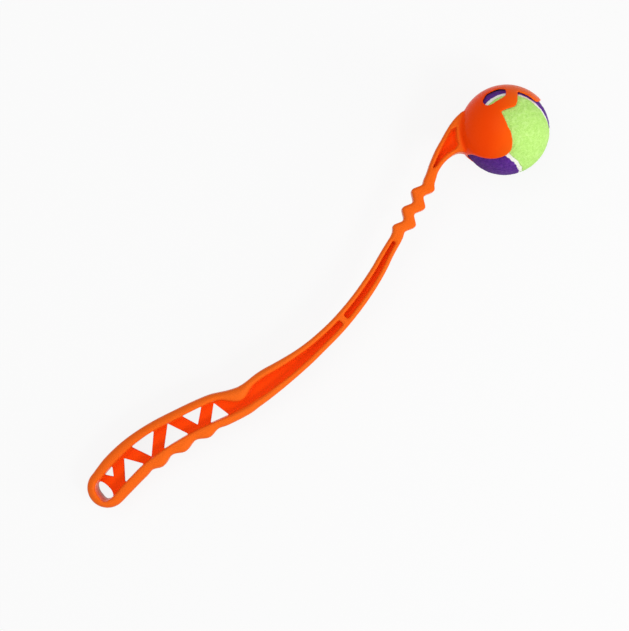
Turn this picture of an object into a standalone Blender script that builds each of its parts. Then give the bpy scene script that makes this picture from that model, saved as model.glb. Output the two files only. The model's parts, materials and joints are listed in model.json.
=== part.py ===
"""Dog ball thrower with its ball, lying on its side.

The thrower is one moulding with a flexible zigzag neck. It is drawn in its own flat plane,
the blade plane: the ball's centre is the origin, +X runs from the butt towards the cup, +Y is
the side away from the cup's mouth, and the plane is the moulding's plane of symmetry.
"""
import math

import bmesh
import bpy
import numpy as np
from mathutils import Euler, Matrix, Vector

# Fits between pieces
FIT_GAP = 0.0003
OVERRUN = 0.006
MERGE_DISTANCE = 0.00002

# Ball
BALL_DIAMETER = 0.0654
FELT_THICKNESS = 0.003
CORE_WALL = 0.0034
SEAM_WIDTH = 0.0022
SEAM_RECESS = 0.0005
SEAM_SWING_SHARE = 0.24
SEAM_TURN_DEG = (71.3, -49.8, -156.9)

# Cup
CUP_WALL = 0.0015
LIP_WALL = 0.0011
CUP_REACH = 0.0175
MOUTH_ANGLE_DEG = -85.0
HOOD_HALF_WIDTH = 0.0226
HOOD_TIP_ROUND = 0.0075
HOOD_REACH = 0.002
WINDOW_HALF_SPACING = 0.0185

# Neck: a strip that zigzags along a leaning line, which starts at a reach from the cup's outside
NECK_REACH = 0.0768
NECK_DROP = 0.0048
NECK_LEAN_DEG = 20.3
NECK_WIDTH = 0.0103
NECK_WAIST = 0.0016
NECK_DEPTH = 0.0145
ZIGZAG_PITCH = 0.0151
ZIGZAG_SWING = 0.00295
ZIGZAG_TURNS = 3
ZIGZAG_CRISPNESS_SHARE = 0.96

# Arm between the neck and the cup
ARM_FLANGE = 0.0034
ARM_END_WALL = 0.0032

# Handle and shaft
BLADE_LENGTH = 0.2882
BUTT_RISE = 0.0020
BOW_DEPTH = 0.0247
GRIP_WIDTH = 0.031
GRIP_DEPTH = 0.020
GRIP_RIM = 0.0070
BUTT_RIM = 0.0071
BUTT_SQUARENESS = (3.6, 2.2)
BUTT_LEAN_SHARE = 0.3
BUTT_REACH_SHARE = 0.985
SHAFT_FLANGE = 0.0044
NECK_FLANGE = 0.0032
WEB_THICKNESS = 0.003
EDGE_ROUND = 0.0028
FINGER_PITCH = 0.0211
FINGER_CREST = 0.0016
FINGER_COUNT = 3
FINGER_START = 0.0441
THUMB_PAD_RISE = 0.0049
THUMB_PAD_LENGTH = 0.030
THUMB_PAD_START = 0.1022
POCKET_BRIDGE = 0.0052

# The spine's drop below the butt, as shares of the bow, at shares of the blade's length
SPINE_SHARES = [
    (0.0, 0.0), (0.054, -0.055), (0.109, -0.05), (0.165, 0.03), (0.22, 0.145), (0.275, 0.29),
    (0.331, 0.47), (0.387, 0.69), (0.442, 0.86), (0.498, 0.95), (0.553, 1.02), (0.608, 1.07),
    (0.664, 1.08), (0.719, 1.055), (0.775, 0.975), (0.83, 0.85), (0.886, 0.675), (0.941, 0.46),
]
# Half widths above and below the spine, as shares of the grip's width
UPPER_SHARES = [
    (0.0, 0.452), (0.055, 0.50), (0.14, 0.515), (0.194, 0.50), (0.25, 0.465), (0.333, 0.428),
    (0.36, 0.39), (0.388, 0.34), (0.416, 0.308), (0.444, 0.326), (0.471, 0.35), (0.499, 0.342),
    (0.527, 0.31), (0.582, 0.252), (0.638, 0.213), (0.693, 0.197), (0.776, 0.184), (0.86, 0.171),
    (0.943, 0.152), (1.0, 0.155),
]
LOWER_SHARES = [
    (0.0, 0.522), (0.055, 0.53), (0.111, 0.506), (0.166, 0.498), (0.25, 0.475), (0.305, 0.46),
    (0.36, 0.43), (0.416, 0.403), (0.444, 0.362), (0.499, 0.332), (0.555, 0.293), (0.61, 0.254),
    (0.666, 0.222), (0.749, 0.203), (0.86, 0.188), (0.943, 0.17), (1.0, 0.166),
]
# How much of the rim's extra thickness is left, from the grip (1) to the shaft (0)
UPPER_RIM_SHARES = [
    (0.0, 1.0), (0.047, 1.35), (0.115, 1.15), (0.183, 0.88), (0.26, 0.86), (0.31, 0.72),
    (0.36, 0.45), (0.5, 0.3), (0.6, 0.0),
]
LOWER_RIM_SHARES = [
    (0.0, 1.2), (0.04, 1.4), (0.08, 1.46), (0.115, 1.52), (0.15, 1.64), (0.19, 1.72),
    (0.22, 1.64), (0.256, 1.55), (0.288, 1.38), (0.32, 1.1), (0.342, 0.96), (0.37, 0.86),
    (0.4, 0.9), (0.435, 0.7), (0.468, 0.34), (0.55, 0.0),
]
# Truss windows: (start, end) of the side along a rim, as shares of the blade's length, then the
# apex as a share of the length and of the height between the rims, which rim the side is on, and
# how far it stands off that rim as a share of the height
TRUSS_SHARES = [
    (0.0185, 0.0435, 0.029, 0.65, "upper", 0.02),
    (0.0405, 0.1085, 0.080, 0.82, "lower", 0.035),
    (0.1135, 0.178, 0.139, 0.08, "upper", 0.02),
    (0.1795, 0.250, 0.219, 0.96, "lower", 0.015),
    (0.261, 0.3105, 0.284, 0.24, "upper", 0.015),
    (0.3175, 0.3645, 0.343, 0.865, "lower", 0.03),
]
FIRST_POCKET_END_SHARE = 0.736
SECOND_POCKET_END_SHARE = 0.978
LEAD_IN_SHARE = 0.92

# The hanging hole's side on the web about the butt's centre, as shares of the grip's width, then
# how far its other side reaches towards the butt's wall, and along which part of that wall
HANGING_HOLE_SHARES = [
    (-0.045, -0.254), (-0.002, -0.14), (-0.006, 0.039), (-0.055, 0.18),
]
HOLE_REACH_SHARE = 0.95
HOLE_SPAN_DEG = (35.0, 165.0)
# How far a pocket's end is cut back at its corners, along the rim and across the end
POCKET_CORNER_SHARES = (0.25, 0.3)

# Arm edges and pocket, as shares of the line from the neck's end to the ball's centre
ARM_UPPER_SHARES = [
    (0.028, 0.07), (0.088, 0.121), (0.182, 0.189), (0.271, 0.246), (0.37, 0.298),
    (0.468, 0.35), (0.56, 0.392), (0.655, 0.418), (0.735, 0.416), (0.80, 0.30),
]
ARM_LOWER_SHARES = [
    (0.079, -0.037), (0.125, 0.008), (0.182, 0.04), (0.252, 0.068), (0.327, 0.084),
    (0.393, 0.087), (0.45, 0.076), (0.50, 0.045),
]
ARM_HEEL_SHARES = (0.62, 0.10)
ARM_POCKET_TIP_SHARES = (0.118, 0.088)

# Cup outlines seen square to the blade plane, as shares of the cup's outer radius, and the
# windows' inner sides as shares of the radius of the ring that the windows reach
PETAL_EDGE_SHARES = [
    (-0.104, 0.023), (-0.115, -0.04), (-0.174, -0.18), (-0.254, -0.293), (-0.356, -0.382),
    (-0.459, -0.405), (-0.567, -0.379), (-0.69, -0.305), (-0.79, -0.195), (-0.872, -0.054),
    (-0.932, 0.10), (-0.985, 0.19),
]
PETAL_NOTCH_SHARES = [(0.416, 0.282), (0.302, 0.245), (0.148, 0.311), (0.014, 0.348),
                      (-0.014, 0.288), (-0.06, 0.154)]
HOOD_ARC_DEG = (35.5, -5.0)
WINDOW_INNER_SHARES = [
    (-0.059, 0.933), (-0.103, 0.839), (-0.083, 0.769), (-0.008, 0.728), (0.137, 0.704),
    (0.319, 0.668), (0.429, 0.673), (0.532, 0.755), (0.535, 0.8),
]
WINDOW_ARC_DEG = (63.0, 86.0)

# Facets
SPINE_STEPS = 72
ZIGZAG_STEPS = 48
END_STEPS = 12
CURVE_STEPS = 4
SCREW_STEPS = 40
ARC_STEPS = 10
BALL_STEPS = 32
SEAM_STEPS = 72
EDGE_SEGMENTS = 1

# Finishes: colour, roughness
ORANGE = (0.84, 0.115, 0.012, 1.0)
LIME = (0.50, 0.85, 0.22, 1.0)
PURPLE = (0.13, 0.035, 0.28, 1.0)
SEAM_WHITE = (0.80, 0.80, 0.74, 1.0)
RUBBER = (0.10, 0.10, 0.11, 1.0)
PLASTIC_ROUGHNESS = 0.38
FELT_ROUGHNESS = 0.95
RUBBER_ROUGHNESS = 0.7

ball_radius = BALL_DIAMETER / 2
core_radius = ball_radius - FELT_THICKNESS - FIT_GAP
cavity_radius = ball_radius + FIT_GAP
cup_radius = cavity_radius + CUP_WALL
lip_radius = cavity_radius + LIP_WALL


def clear_scene():
    for ob in list(bpy.data.objects):
        bpy.data.objects.remove(ob, do_unlink=True)


def new_collection(name):
    collection = bpy.data.collections.new(name)
    bpy.context.scene.collection.children.link(collection)
    return collection


def finish(name, colour, roughness):
    material = bpy.data.materials.new(name)
    material.use_nodes = True
    shader = material.node_tree.nodes["Principled BSDF"]
    shader.inputs["Base Color"].default_value = colour
    shader.inputs["Roughness"].default_value = roughness
    shader.inputs["Metallic"].default_value = 0.0
    material.diffuse_color = colour
    return material


def put(name, mesh, collection, parent, material=None):
    ob = bpy.data.objects.new(name, mesh)
    collection.objects.link(ob)
    ob.parent = parent
    if material:
        mesh.materials.clear()
        mesh.materials.append(material)
    return ob


def put_empty(name, place, collection, parent):
    ob = bpy.data.objects.new(name, None)
    ob.location = place
    ob.parent = parent
    collection.objects.link(ob)
    return ob


def hide_cutter(ob):
    ob.hide_render = True
    ob.display_type = "WIRE"
    return ob


def cut(ob, cutter, operation="DIFFERENCE"):
    modifier = ob.modifiers.new(operation.lower(), "BOOLEAN")
    modifier.operation = operation
    modifier.object = cutter


def cut_and_weld(ob, cutter, operation="DIFFERENCE"):
    """A cut, and a weld of the double points that it leaves, for a piece that is cut many times."""
    cut(ob, cutter, operation)
    ob.modifiers.new("weld", "WELD").merge_threshold = MERGE_DISTANCE


def smooth_line(points, steps=CURVE_STEPS):
    """A Catmull-Rom curve through the points, as an array."""
    points = np.array(points, float)
    ends = np.vstack([2 * points[0] - points[1], points, 2 * points[-1] - points[-2]])
    line = []
    for i in range(len(points) - 1):
        a, b, c, d = ends[i:i + 4]
        for t in np.arange(steps) / steps:
            line.append(0.5 * (2 * b + (c - a) * t + (2 * a - 5 * b + 4 * c - d) * t ** 2
                               + (3 * b - a - 3 * c + d) * t ** 3))
    line.append(points[-1])
    return np.array(line)


def follow(table, share):
    """The value of a smooth curve through a table's points, at a share of the length."""
    curve = smooth_line(table, 8)
    return float(np.interp(share, curve[:, 0], curve[:, 1]))


def raised_bump(share):
    """A smooth bump: 1 at 0, nothing from -1 down and from 1 up."""
    return 0.5 + 0.5 * math.cos(math.pi * min(1.0, abs(share)))


# The neck's line
neck_along = np.array([math.cos(math.radians(NECK_LEAN_DEG)), math.sin(math.radians(NECK_LEAN_DEG))])
neck_across = np.array([-neck_along[1], neck_along[0]])
neck_start = np.array([-cup_radius - NECK_REACH, -NECK_DROP])
neck_length = ZIGZAG_PITCH * ZIGZAG_TURNS
neck_end = neck_start + neck_along * neck_length
neck_middle = (neck_start + neck_end) / 2

# The blade's spine, from the centre of the butt's round end to the neck
butt_centre = neck_start + np.array([-BLADE_LENGTH, NECK_DROP + BUTT_RISE])


def spine_point(share):
    x = butt_centre[0] + share * BLADE_LENGTH
    end_share = (butt_centre[1] - neck_start[1]) / BOW_DEPTH
    drop = follow(SPINE_SHARES + [(1.0, end_share)], share)
    return np.array([x, butt_centre[1] - drop * BOW_DEPTH])


def spine_normal(share):
    if share > 1 - 0.5 / SPINE_STEPS:
        return neck_across
    step = 0.5 / SPINE_STEPS
    along = spine_point(share + step) - spine_point(max(0.0, share - step))
    along = along / np.linalg.norm(along)
    return np.array([-along[1], along[0]])


def finger_crests(share):
    """How far the finger crests stand out of the lower rim."""
    place = share * BLADE_LENGTH - FINGER_START
    last = FINGER_PITCH * (FINGER_COUNT - 1)
    fade = raised_bump(max(0.0, -place, place - last) / FINGER_PITCH)
    return FINGER_CREST * fade * math.cos(2 * math.pi * place / FINGER_PITCH)


def thumb_pad(share):
    """How far the thumb rest thickens the upper rim inwards."""
    place = share * BLADE_LENGTH - THUMB_PAD_START - THUMB_PAD_LENGTH / 2
    return THUMB_PAD_RISE * raised_bump(place / (THUMB_PAD_LENGTH / 2))


def flange(share, rim_shares):
    shaft = SHAFT_FLANGE + (NECK_FLANGE - SHAFT_FLANGE) * max(0.0, 2 * share - 1)
    return shaft + (GRIP_RIM - shaft) * follow(rim_shares, share)


def half_width(share, table):
    """Half the blade's width on one side, led into the neck's width at the end."""
    wide = follow(table, share) * GRIP_WIDTH
    at_neck = NECK_WIDTH / 2 - (NECK_WAIST if table is LOWER_SHARES else 0.0)
    slide = max(0.0, (share - LEAD_IN_SHARE) / (1 - LEAD_IN_SHARE))
    return wide + (at_neck - wide) * slide


def upper_edge(share):
    return spine_point(share) + spine_normal(share) * half_width(share, UPPER_SHARES)


def lower_edge(share):
    wide = half_width(share, LOWER_SHARES) + finger_crests(share)
    return spine_point(share) - spine_normal(share) * wide


def upper_wall(share, ledge=0.0):
    depth = half_width(share, UPPER_SHARES) - flange(share, UPPER_RIM_SHARES) - thumb_pad(share)
    return spine_point(share) + spine_normal(share) * (depth - ledge)


def lower_wall(share, ledge=0.0):
    depth = half_width(share, LOWER_SHARES) - flange(share, LOWER_RIM_SHARES)
    return spine_point(share) - spine_normal(share) * (depth - ledge)


def blade_depth(x):
    """The moulding's depth square to the blade plane, at a place along the blade."""
    share = min(1.0, max(0.0, (x - butt_centre[0]) / BLADE_LENGTH))
    return GRIP_DEPTH + (NECK_DEPTH - GRIP_DEPTH) * share


def outline_curve(name, outline, half, edge_round, collection):
    """A filled flat outline with rounded edges, as a 2D curve."""
    data = bpy.data.curves.new(name, "CURVE")
    data.dimensions = "2D"
    data.fill_mode = "BOTH"
    data.extrude = half - edge_round
    data.bevel_depth = edge_round
    data.bevel_resolution = EDGE_SEGMENTS
    data.offset = -edge_round
    spline = data.splines.new("POLY")
    spline.points.add(len(outline) - 1)
    for point, (x, y) in zip(spline.points, outline):
        point.co = (x, y, 0.0, 1.0)
    spline.use_cyclic_u = True
    ob = bpy.data.objects.new(name, data)
    collection.objects.link(ob)
    return ob


def to_mesh(curve_object):
    """The evaluated curve as a welded mesh with outward faces; the curve is removed."""
    bpy.context.view_layer.update()
    seen = curve_object.evaluated_get(bpy.context.evaluated_depsgraph_get())
    mesh = bpy.data.meshes.new_from_object(seen)
    data = curve_object.data
    bpy.data.objects.remove(curve_object, do_unlink=True)
    bpy.data.curves.remove(data)
    work = bmesh.new()
    work.from_mesh(mesh)
    bmesh.ops.remove_doubles(work, verts=work.verts, dist=MERGE_DISTANCE)
    bmesh.ops.recalc_face_normals(work, faces=work.faces)
    work.to_mesh(mesh)
    work.free()
    return mesh


def plate(name, outline, half, edge_round, collection, parent, material):
    mesh = to_mesh(outline_curve(name, outline, half, edge_round, collection))
    mesh.name = name
    return put(name, mesh, collection, parent, material)


def taper(ob, at_full):
    """Scales the depth of a plate to the blade's depth at each place."""
    for vertex in ob.data.vertices:
        vertex.co.z *= blade_depth(vertex.co.x) / at_full


def settle(ob):
    """Replaces an object's mesh with its modifiers' result, so that it no longer hangs on the
    turn and place of the objects above it."""
    bpy.context.view_layer.update()
    seen = ob.evaluated_get(bpy.context.evaluated_depsgraph_get())
    mesh = bpy.data.meshes.new_from_object(seen)
    mesh.name = ob.name
    ob.modifiers.clear()
    ob.data = mesh


def prism(name, outline, bottom, top, parent, both_sides=False):
    """A straight-sided cutter on an outline, on one side of the blade plane or on both."""
    work = bmesh.new()
    spans = [(bottom, top)] + ([(-top, -bottom)] if both_sides else [])
    for low, high in spans:
        corners = [work.verts.new((x, y, low)) for x, y in outline]
        face = work.faces.new(corners)
        grown = bmesh.ops.extrude_face_region(work, geom=[face])["geom"]
        for vertex in (v for v in grown if isinstance(v, bmesh.types.BMVert)):
            vertex.co.z = high
    bmesh.ops.recalc_face_normals(work, faces=work.faces)
    mesh = bpy.data.meshes.new(name)
    work.to_mesh(mesh)
    work.free()
    return hide_cutter(put(name, mesh, cutters, parent))


def turned(name, profile, collection, parent, material=None, steps=SCREW_STEPS, place=None):
    """A profile of (radius, height) points turned about the local Z axis."""
    mesh = bpy.data.meshes.new(name)
    points = [(radius, 0.0, height) for radius, height in profile]
    mesh.from_pydata(points, [(i, i + 1) for i in range(len(points) - 1)], [])
    ob = put(name, mesh, collection, parent, material)
    if place is not None:
        ob.matrix_local = place
    screw = ob.modifiers.new("turn", "SCREW")
    screw.steps = screw.render_steps = steps
    screw.use_merge_vertices = True
    screw.merge_threshold = MERGE_DISTANCE
    screw.use_smooth_shade = True
    return ob


def arc(radius, start_deg, end_deg, steps):
    angles = np.radians(np.linspace(start_deg, end_deg, steps + 1))
    return [(radius * math.cos(a), radius * math.sin(a)) for a in angles]


def make_blade(parent, material):
    """Handle and shaft: a tapered plate, pocketed on both faces, with truss windows."""
    shares = np.linspace(0.0, 1.0, SPINE_STEPS + 1)
    end_shift = -neck_along * FIT_GAP / 2
    upper = [upper_edge(s) for s in shares]
    lower = [lower_edge(s) for s in shares]
    upper[-1] = upper[-1] + end_shift
    lower[-1] = lower[-1] + end_shift
    outline = list(reversed(upper)) + butt_arc(upper[0], lower[0], END_STEPS) + lower
    blade = plate("handle_and_shaft", outline, GRIP_DEPTH / 2, EDGE_ROUND, parts, parent, material)
    taper(blade, GRIP_DEPTH)
    shade(blade)

    top = GRIP_DEPTH / 2 + OVERRUN
    bridge_share = POCKET_BRIDGE / BLADE_LENGTH
    spans = [(0.0, FIRST_POCKET_END_SHARE),
             (FIRST_POCKET_END_SHARE + bridge_share, SECOND_POCKET_END_SHARE)]
    for number, (start, end) in enumerate(spans, 1):
        cut(blade, prism(f"pocket_cutter_{number}", pocket_outline(start, end),
                         WEB_THICKNESS / 2, top, parent, both_sides=True))
    cut(blade, prism("hanging_hole_cutter", hanging_hole_outline(), -top, top, parent))
    for number, window in enumerate(TRUSS_SHARES, 1):
        cut(blade, prism(f"truss_cutter_{number}", truss_outline(*window), -top, top, parent))
    return blade


def butt_arc(upper, lower, steps):
    """The round end between the blade's two edges, without its end points."""
    centre = (upper + lower) / 2
    across = upper - centre
    back = np.array([-across[1], across[0]])
    turns = np.pi * np.arange(1, steps) / steps
    reach = back * BUTT_REACH_SHARE
    return [centre + across * math.cos(t) + reach * math.sin(t) for t in turns]


def butt_wall(turn):
    """The pocket's wall inside the butt's end, from 0 at the upper rim to pi at the lower."""
    upper, lower = upper_wall(0.0), lower_wall(0.0)
    centre = (upper + lower) / 2
    across = upper - centre
    back = np.array([-across[1], across[0]]) / np.linalg.norm(across)
    at_upper, at_lower = BUTT_SQUARENESS
    power = 2 / (at_upper + (at_lower - at_upper) * turn / np.pi)
    reach = (GRIP_WIDTH / 2 - BUTT_RIM) * (1 - BUTT_LEAN_SHARE * math.cos(turn))
    side = math.copysign(abs(math.cos(turn)) ** power, math.cos(turn))
    return centre + across * side + back * reach * math.sin(turn) ** power


def pocket_outline(start, end):
    """A pocket between the rims, with rounded ends, or with the butt's end where it starts at 0."""
    count = max(8, int(round((end - start) * SPINE_STEPS)))
    shares = np.linspace(start, end, count + 1)
    upper = [upper_wall(s) for s in shares]
    lower = [lower_wall(s) for s in shares]
    if start == 0.0:
        first = [butt_wall(np.pi * k / END_STEPS) for k in range(1, END_STEPS)]
    else:
        first = pocket_end(lower[1], lower[0], upper[0], upper[1])[::-1]
        upper, lower = upper[1:], lower[1:]
    last = pocket_end(upper[-2], upper[-1], lower[-1], lower[-2])
    return list(reversed(upper[:-1])) + first + lower[:-1] + last[::-1]


def pocket_end(before, corner_a, corner_b, after):
    """Four points that round off a pocket's end between its two corners."""
    middle = (corner_a + corner_b) / 2
    back, inward = POCKET_CORNER_SHARES
    return [corner_a + back * (before - corner_a), corner_a + inward * (middle - corner_a),
            corner_b + inward * (middle - corner_b), corner_b + back * (after - corner_b)]


def hanging_hole_outline():
    """The hole in the butt's end of the web, beside the butt's wall."""
    web_side = [butt_centre + np.array(p) * GRIP_WIDTH for p in HANGING_HOLE_SHARES]
    centre = (upper_wall(0.0) + lower_wall(0.0)) / 2
    turns = np.radians(np.linspace(*HOLE_SPAN_DEG, END_STEPS // 2))
    points = web_side + [centre + (butt_wall(t) - centre) * HOLE_REACH_SHARE for t in turns]
    return smooth_line(points + points[:1], 3)[:-1]


def truss_outline(start, end, apex, height, side, ledge):
    """A three-sided window: one side along a rim, and an apex near the other rim."""
    wall = upper_wall if side == "upper" else lower_wall
    low, high = lower_wall(apex), upper_wall(apex)
    stand_off = ledge * np.linalg.norm(high - low)
    points = [wall(s, stand_off) for s in np.linspace(start, end, 5)]
    return points + [low + (high - low) * height]


def zigzag_centre(distance):
    """The neck strip's middle: a triangle wave with rounded corners along the neck's line."""
    wave = math.sin(2 * math.pi * distance / ZIGZAG_PITCH)
    crisp = ZIGZAG_CRISPNESS_SHARE
    swing = ZIGZAG_SWING * math.asin(crisp * wave) / math.asin(crisp)
    return neck_start + neck_along * distance + neck_across * swing


def neck_side(distance, side):
    """A point on the neck strip's upper side (1) or lower side (-1)."""
    from_end = neck_length - distance if side > 0 else distance
    waist = NECK_WAIST * max(0.0, 1 - from_end / (ZIGZAG_PITCH / 4))
    return zigzag_centre(distance) + neck_across * side * (NECK_WIDTH / 2 - waist)


def make_neck(parent, material):
    distances = np.linspace(FIT_GAP / 2, neck_length - FIT_GAP / 2, ZIGZAG_STEPS + 1)
    outline = [neck_side(d, 1) for d in distances[::-1]] + [neck_side(d, -1) for d in distances]
    neck = plate("zigzag_neck", outline, NECK_DEPTH / 2, EDGE_ROUND, parts, parent, material)
    shade(neck)
    return neck


def arm_point(along, across):
    chord = -neck_end
    side = np.array([-chord[1], chord[0]])
    return neck_end + chord * along + side * across


def arm_edges(gap):
    """The arm's upper and lower edges, from a gap past the neck's end to inside the cup."""
    shift = neck_along * gap
    upper = [neck_side(neck_length, 1) + shift] + [arm_point(*p) for p in ARM_UPPER_SHARES]
    lower = [neck_side(neck_length, -1) + shift] + [arm_point(*p) for p in ARM_LOWER_SHARES]
    return smooth_line(upper), smooth_line(lower)


def make_cup(parent, material):
    """The cup: a dome turned about the mouth's axis, joined to its arm and cut to outline."""
    mouth = math.radians(MOUTH_ANGLE_DEG)
    out = Vector((math.cos(mouth), math.sin(mouth), 0.0))
    place = (-out).to_track_quat("Z", "Y").to_matrix().to_4x4()
    skirt_deg = -math.degrees(math.acos(lip_radius / cup_radius))
    dome = arc(cup_radius, 90.0, 0.0, ARC_STEPS) + arc(cup_radius, skirt_deg / 2, skirt_deg, 1)
    dome += [(lip_radius, -CUP_REACH), (0.0, -CUP_REACH)]
    dome[0] = (0.0, cup_radius)
    cup = turned("ball_cup", dome, parts, parent, material, place=place)

    cut_and_weld(cup, make_arm_body(parent), "UNION")
    hollow = arc(cavity_radius, 90.0, 0.0, ARC_STEPS)
    hollow += [(cavity_radius, -CUP_REACH - OVERRUN), (0.0, -CUP_REACH - OVERRUN)]
    hollow[0] = (0.0, cavity_radius)
    cut_and_weld(cup, hide_cutter(turned("cavity_cutter", hollow, cutters, parent, place=place)))
    for cutter in cup_cutters(parent):
        cut_and_weld(cup, cutter)
    settle(cup)
    return cup


def make_arm_body(parent):
    """The arm's plate, from the neck into the cup's wall; a union joins it to the cup."""
    upper, lower = arm_edges(FIT_GAP / 2)
    outline = list(upper[::-1]) + list(lower) + [arm_point(*ARM_HEEL_SHARES)]
    arm = plate("arm_body", outline, NECK_DEPTH / 2, EDGE_ROUND, cutters, parent, None)
    return hide_cutter(arm)


def arm_pocket_outline():
    """The arm's pocket: its edges moved in by the flange, ended by an arc about the ball."""
    upper, lower = arm_edges(0.0)
    upper_inner = moved_in(upper, -ARM_FLANGE)
    lower_inner = moved_in(lower, ARM_FLANGE)
    stop = cup_radius + ARM_END_WALL
    tip = arm_point(*ARM_POCKET_TIP_SHARES)
    upper_inner = [p for p in upper_inner if p[0] > tip[0] + ARM_FLANGE and np.hypot(*p) > stop]
    lower_inner = [p for p in lower_inner if p[0] > tip[0] + ARM_FLANGE and np.hypot(*p) > stop]
    turn_a = math.atan2(upper_inner[-1][1], upper_inner[-1][0])
    turn_b = math.atan2(lower_inner[-1][1], lower_inner[-1][0])
    turns = np.linspace(turn_a, turn_b, END_STEPS // 2)
    end = [stop * np.array([math.cos(t), math.sin(t)]) for t in turns]
    return [tip] + upper_inner + end + lower_inner[::-1]


def moved_in(line, distance):
    """A line moved to its left by a distance, or to its right by a negative one."""
    along = np.gradient(line, axis=0)
    along = along / np.linalg.norm(along, axis=1)[:, None]
    return line + np.stack([-along[:, 1], along[:, 0]], axis=1) * distance


def cup_cutters(parent):
    """What opens the cup: the mouth's edge, the notches, the windows and the arm's pocket."""
    far = cup_radius + OVERRUN
    petal = smooth_line(np.array(PETAL_EDGE_SHARES) * cup_radius)
    corner = petal[0]
    hood_end = corner[1] - HOOD_REACH
    mouth = [(far, hood_end)] + list(petal) + [(-far, petal[-1][1] + OVERRUN / 2),
                                               (-far, -far), (far, -far)]
    past_corner = corner + np.array([FIT_GAP, -FIT_GAP])
    notch = smooth_line(list(np.array(PETAL_NOTCH_SHARES) * cup_radius) + [past_corner])
    hood = ring_arc(HOOD_HALF_WIDTH, HOOD_ARC_DEG)
    side = hood + [np.array([past_corner[0], hood[-1][1]])] + list(notch)[::-1]
    window = ring_arc(WINDOW_HALF_SPACING, WINDOW_ARC_DEG)
    window += list(np.array(WINDOW_INNER_SHARES) * ring_radius(WINDOW_HALF_SPACING))
    window = smooth_line(window + window[:1], 3)[:-1]
    return [
        prism("mouth_cutter", mouth, -far, far, parent),
        prism("notch_cutter", side, HOOD_HALF_WIDTH / 2, far, parent, both_sides=True),
        hood_tip_cutter(hood_end, far, parent),
        prism("window_cutter", window, WINDOW_HALF_SPACING / 2, far, parent, both_sides=True),
        prism("arm_pocket_cutter", arm_pocket_outline(), WEB_THICKNESS / 2,
              NECK_DEPTH / 2 + OVERRUN, parent, both_sides=True),
    ]


def ring_radius(half_spacing):
    """The radius of the ring on the cup's outside at a distance from the blade plane."""
    return math.sqrt(cup_radius ** 2 - half_spacing ** 2)


def ring_arc(half_spacing, span_deg):
    """A part of that ring, seen square to the blade plane."""
    return [np.array(p) for p in arc(ring_radius(half_spacing), *span_deg, END_STEPS // 2)]


def hood_tip_cutter(end, far, parent):
    """Rounds off the two corners of the hood's tip; it cuts along X and just past the end."""
    centre_y, centre_z = end + HOOD_TIP_ROUND - FIT_GAP, HOOD_HALF_WIDTH - HOOD_TIP_ROUND
    turns = np.radians(np.linspace(0.0, -90.0, END_STEPS // 2))
    side = [(centre_z + HOOD_TIP_ROUND * math.cos(t), centre_y + HOOD_TIP_ROUND * math.sin(t))
            for t in turns]
    outline = [(far, centre_y)] + side + [(-z, y) for z, y in side[::-1]]
    outline += [(-far, centre_y), (-far, end - OVERRUN), (far, end - OVERRUN)]
    cutter = prism("hood_tip_cutter", outline, cup_radius / 3, far, parent)
    cutter.matrix_local = Matrix.Rotation(math.radians(90.0), 4, "Y")
    return cutter


def seam_point(turn):
    """A point of the ball's seam on a unit sphere, and the direction square to the seam."""
    b = SEAM_SWING_SHARE
    a = 1 - b

    def at(t):
        return Vector((a * math.cos(t) + b * math.cos(3 * t),
                       a * math.sin(t) - b * math.sin(3 * t),
                       2 * math.sqrt(a * b) * math.sin(2 * t))).normalized()

    point = at(turn)
    step = math.pi / SEAM_STEPS
    along = (at(turn + step) - at(turn - step)).normalized()
    return point, point.cross(along)


def seam_band(name, width, inner, outer):
    """A closed band along the seam, between two radii."""
    work = bmesh.new()
    rings = []
    for k in range(SEAM_STEPS):
        point, across = seam_point(2 * math.pi * k / SEAM_STEPS)
        side = across * (width / 2 / ball_radius)
        left, right = (point + side).normalized(), (point - side).normalized()
        places = [left * inner, left * outer, right * outer, right * inner]
        rings.append([work.verts.new(p) for p in places])
    for ring, following in zip(rings, rings[1:] + rings[:1]):
        for i in range(4):
            j = (i + 1) % 4
            work.faces.new((ring[i], ring[j], following[j], following[i]))
    bmesh.ops.recalc_face_normals(work, faces=work.faces)
    mesh = bpy.data.meshes.new(name)
    work.to_mesh(mesh)
    work.free()
    return mesh


def sphere_mesh(name, outer, inner, steps):
    """A sphere's shell: an outer surface and an inner one that faces inwards."""
    work = bmesh.new()
    bmesh.ops.create_uvsphere(work, u_segments=steps, v_segments=steps // 2, radius=outer)
    outside = set(work.faces)
    bmesh.ops.create_uvsphere(work, u_segments=steps, v_segments=steps // 2, radius=inner)
    bmesh.ops.reverse_faces(work, faces=[f for f in work.faces if f not in outside])
    mesh = bpy.data.meshes.new(name)
    work.to_mesh(mesh)
    work.free()
    return mesh


def islands(mesh):
    """The mesh's separate bodies, as lists of vertex indices."""
    group = list(range(len(mesh.vertices)))

    def root(i):
        while group[i] != i:
            group[i] = group[group[i]]
            i = group[i]
        return i

    for edge in mesh.edges:
        a, b = (root(i) for i in edge.vertices)
        group[a] = b
    found = {}
    for i in range(len(mesh.vertices)):
        found.setdefault(root(i), []).append(i)
    return list(found.values())


def keep_body(mesh, keep, name):
    """A copy of the mesh with only the given vertices and their faces."""
    part = mesh.copy()
    part.name = name
    work = bmesh.new()
    work.from_mesh(part)
    work.verts.ensure_lookup_table()
    wanted = set(keep)
    gone = [v for v in work.verts if v.index not in wanted]
    bmesh.ops.delete(work, geom=gone, context="VERTS")
    work.to_mesh(part)
    work.free()
    return part


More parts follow.
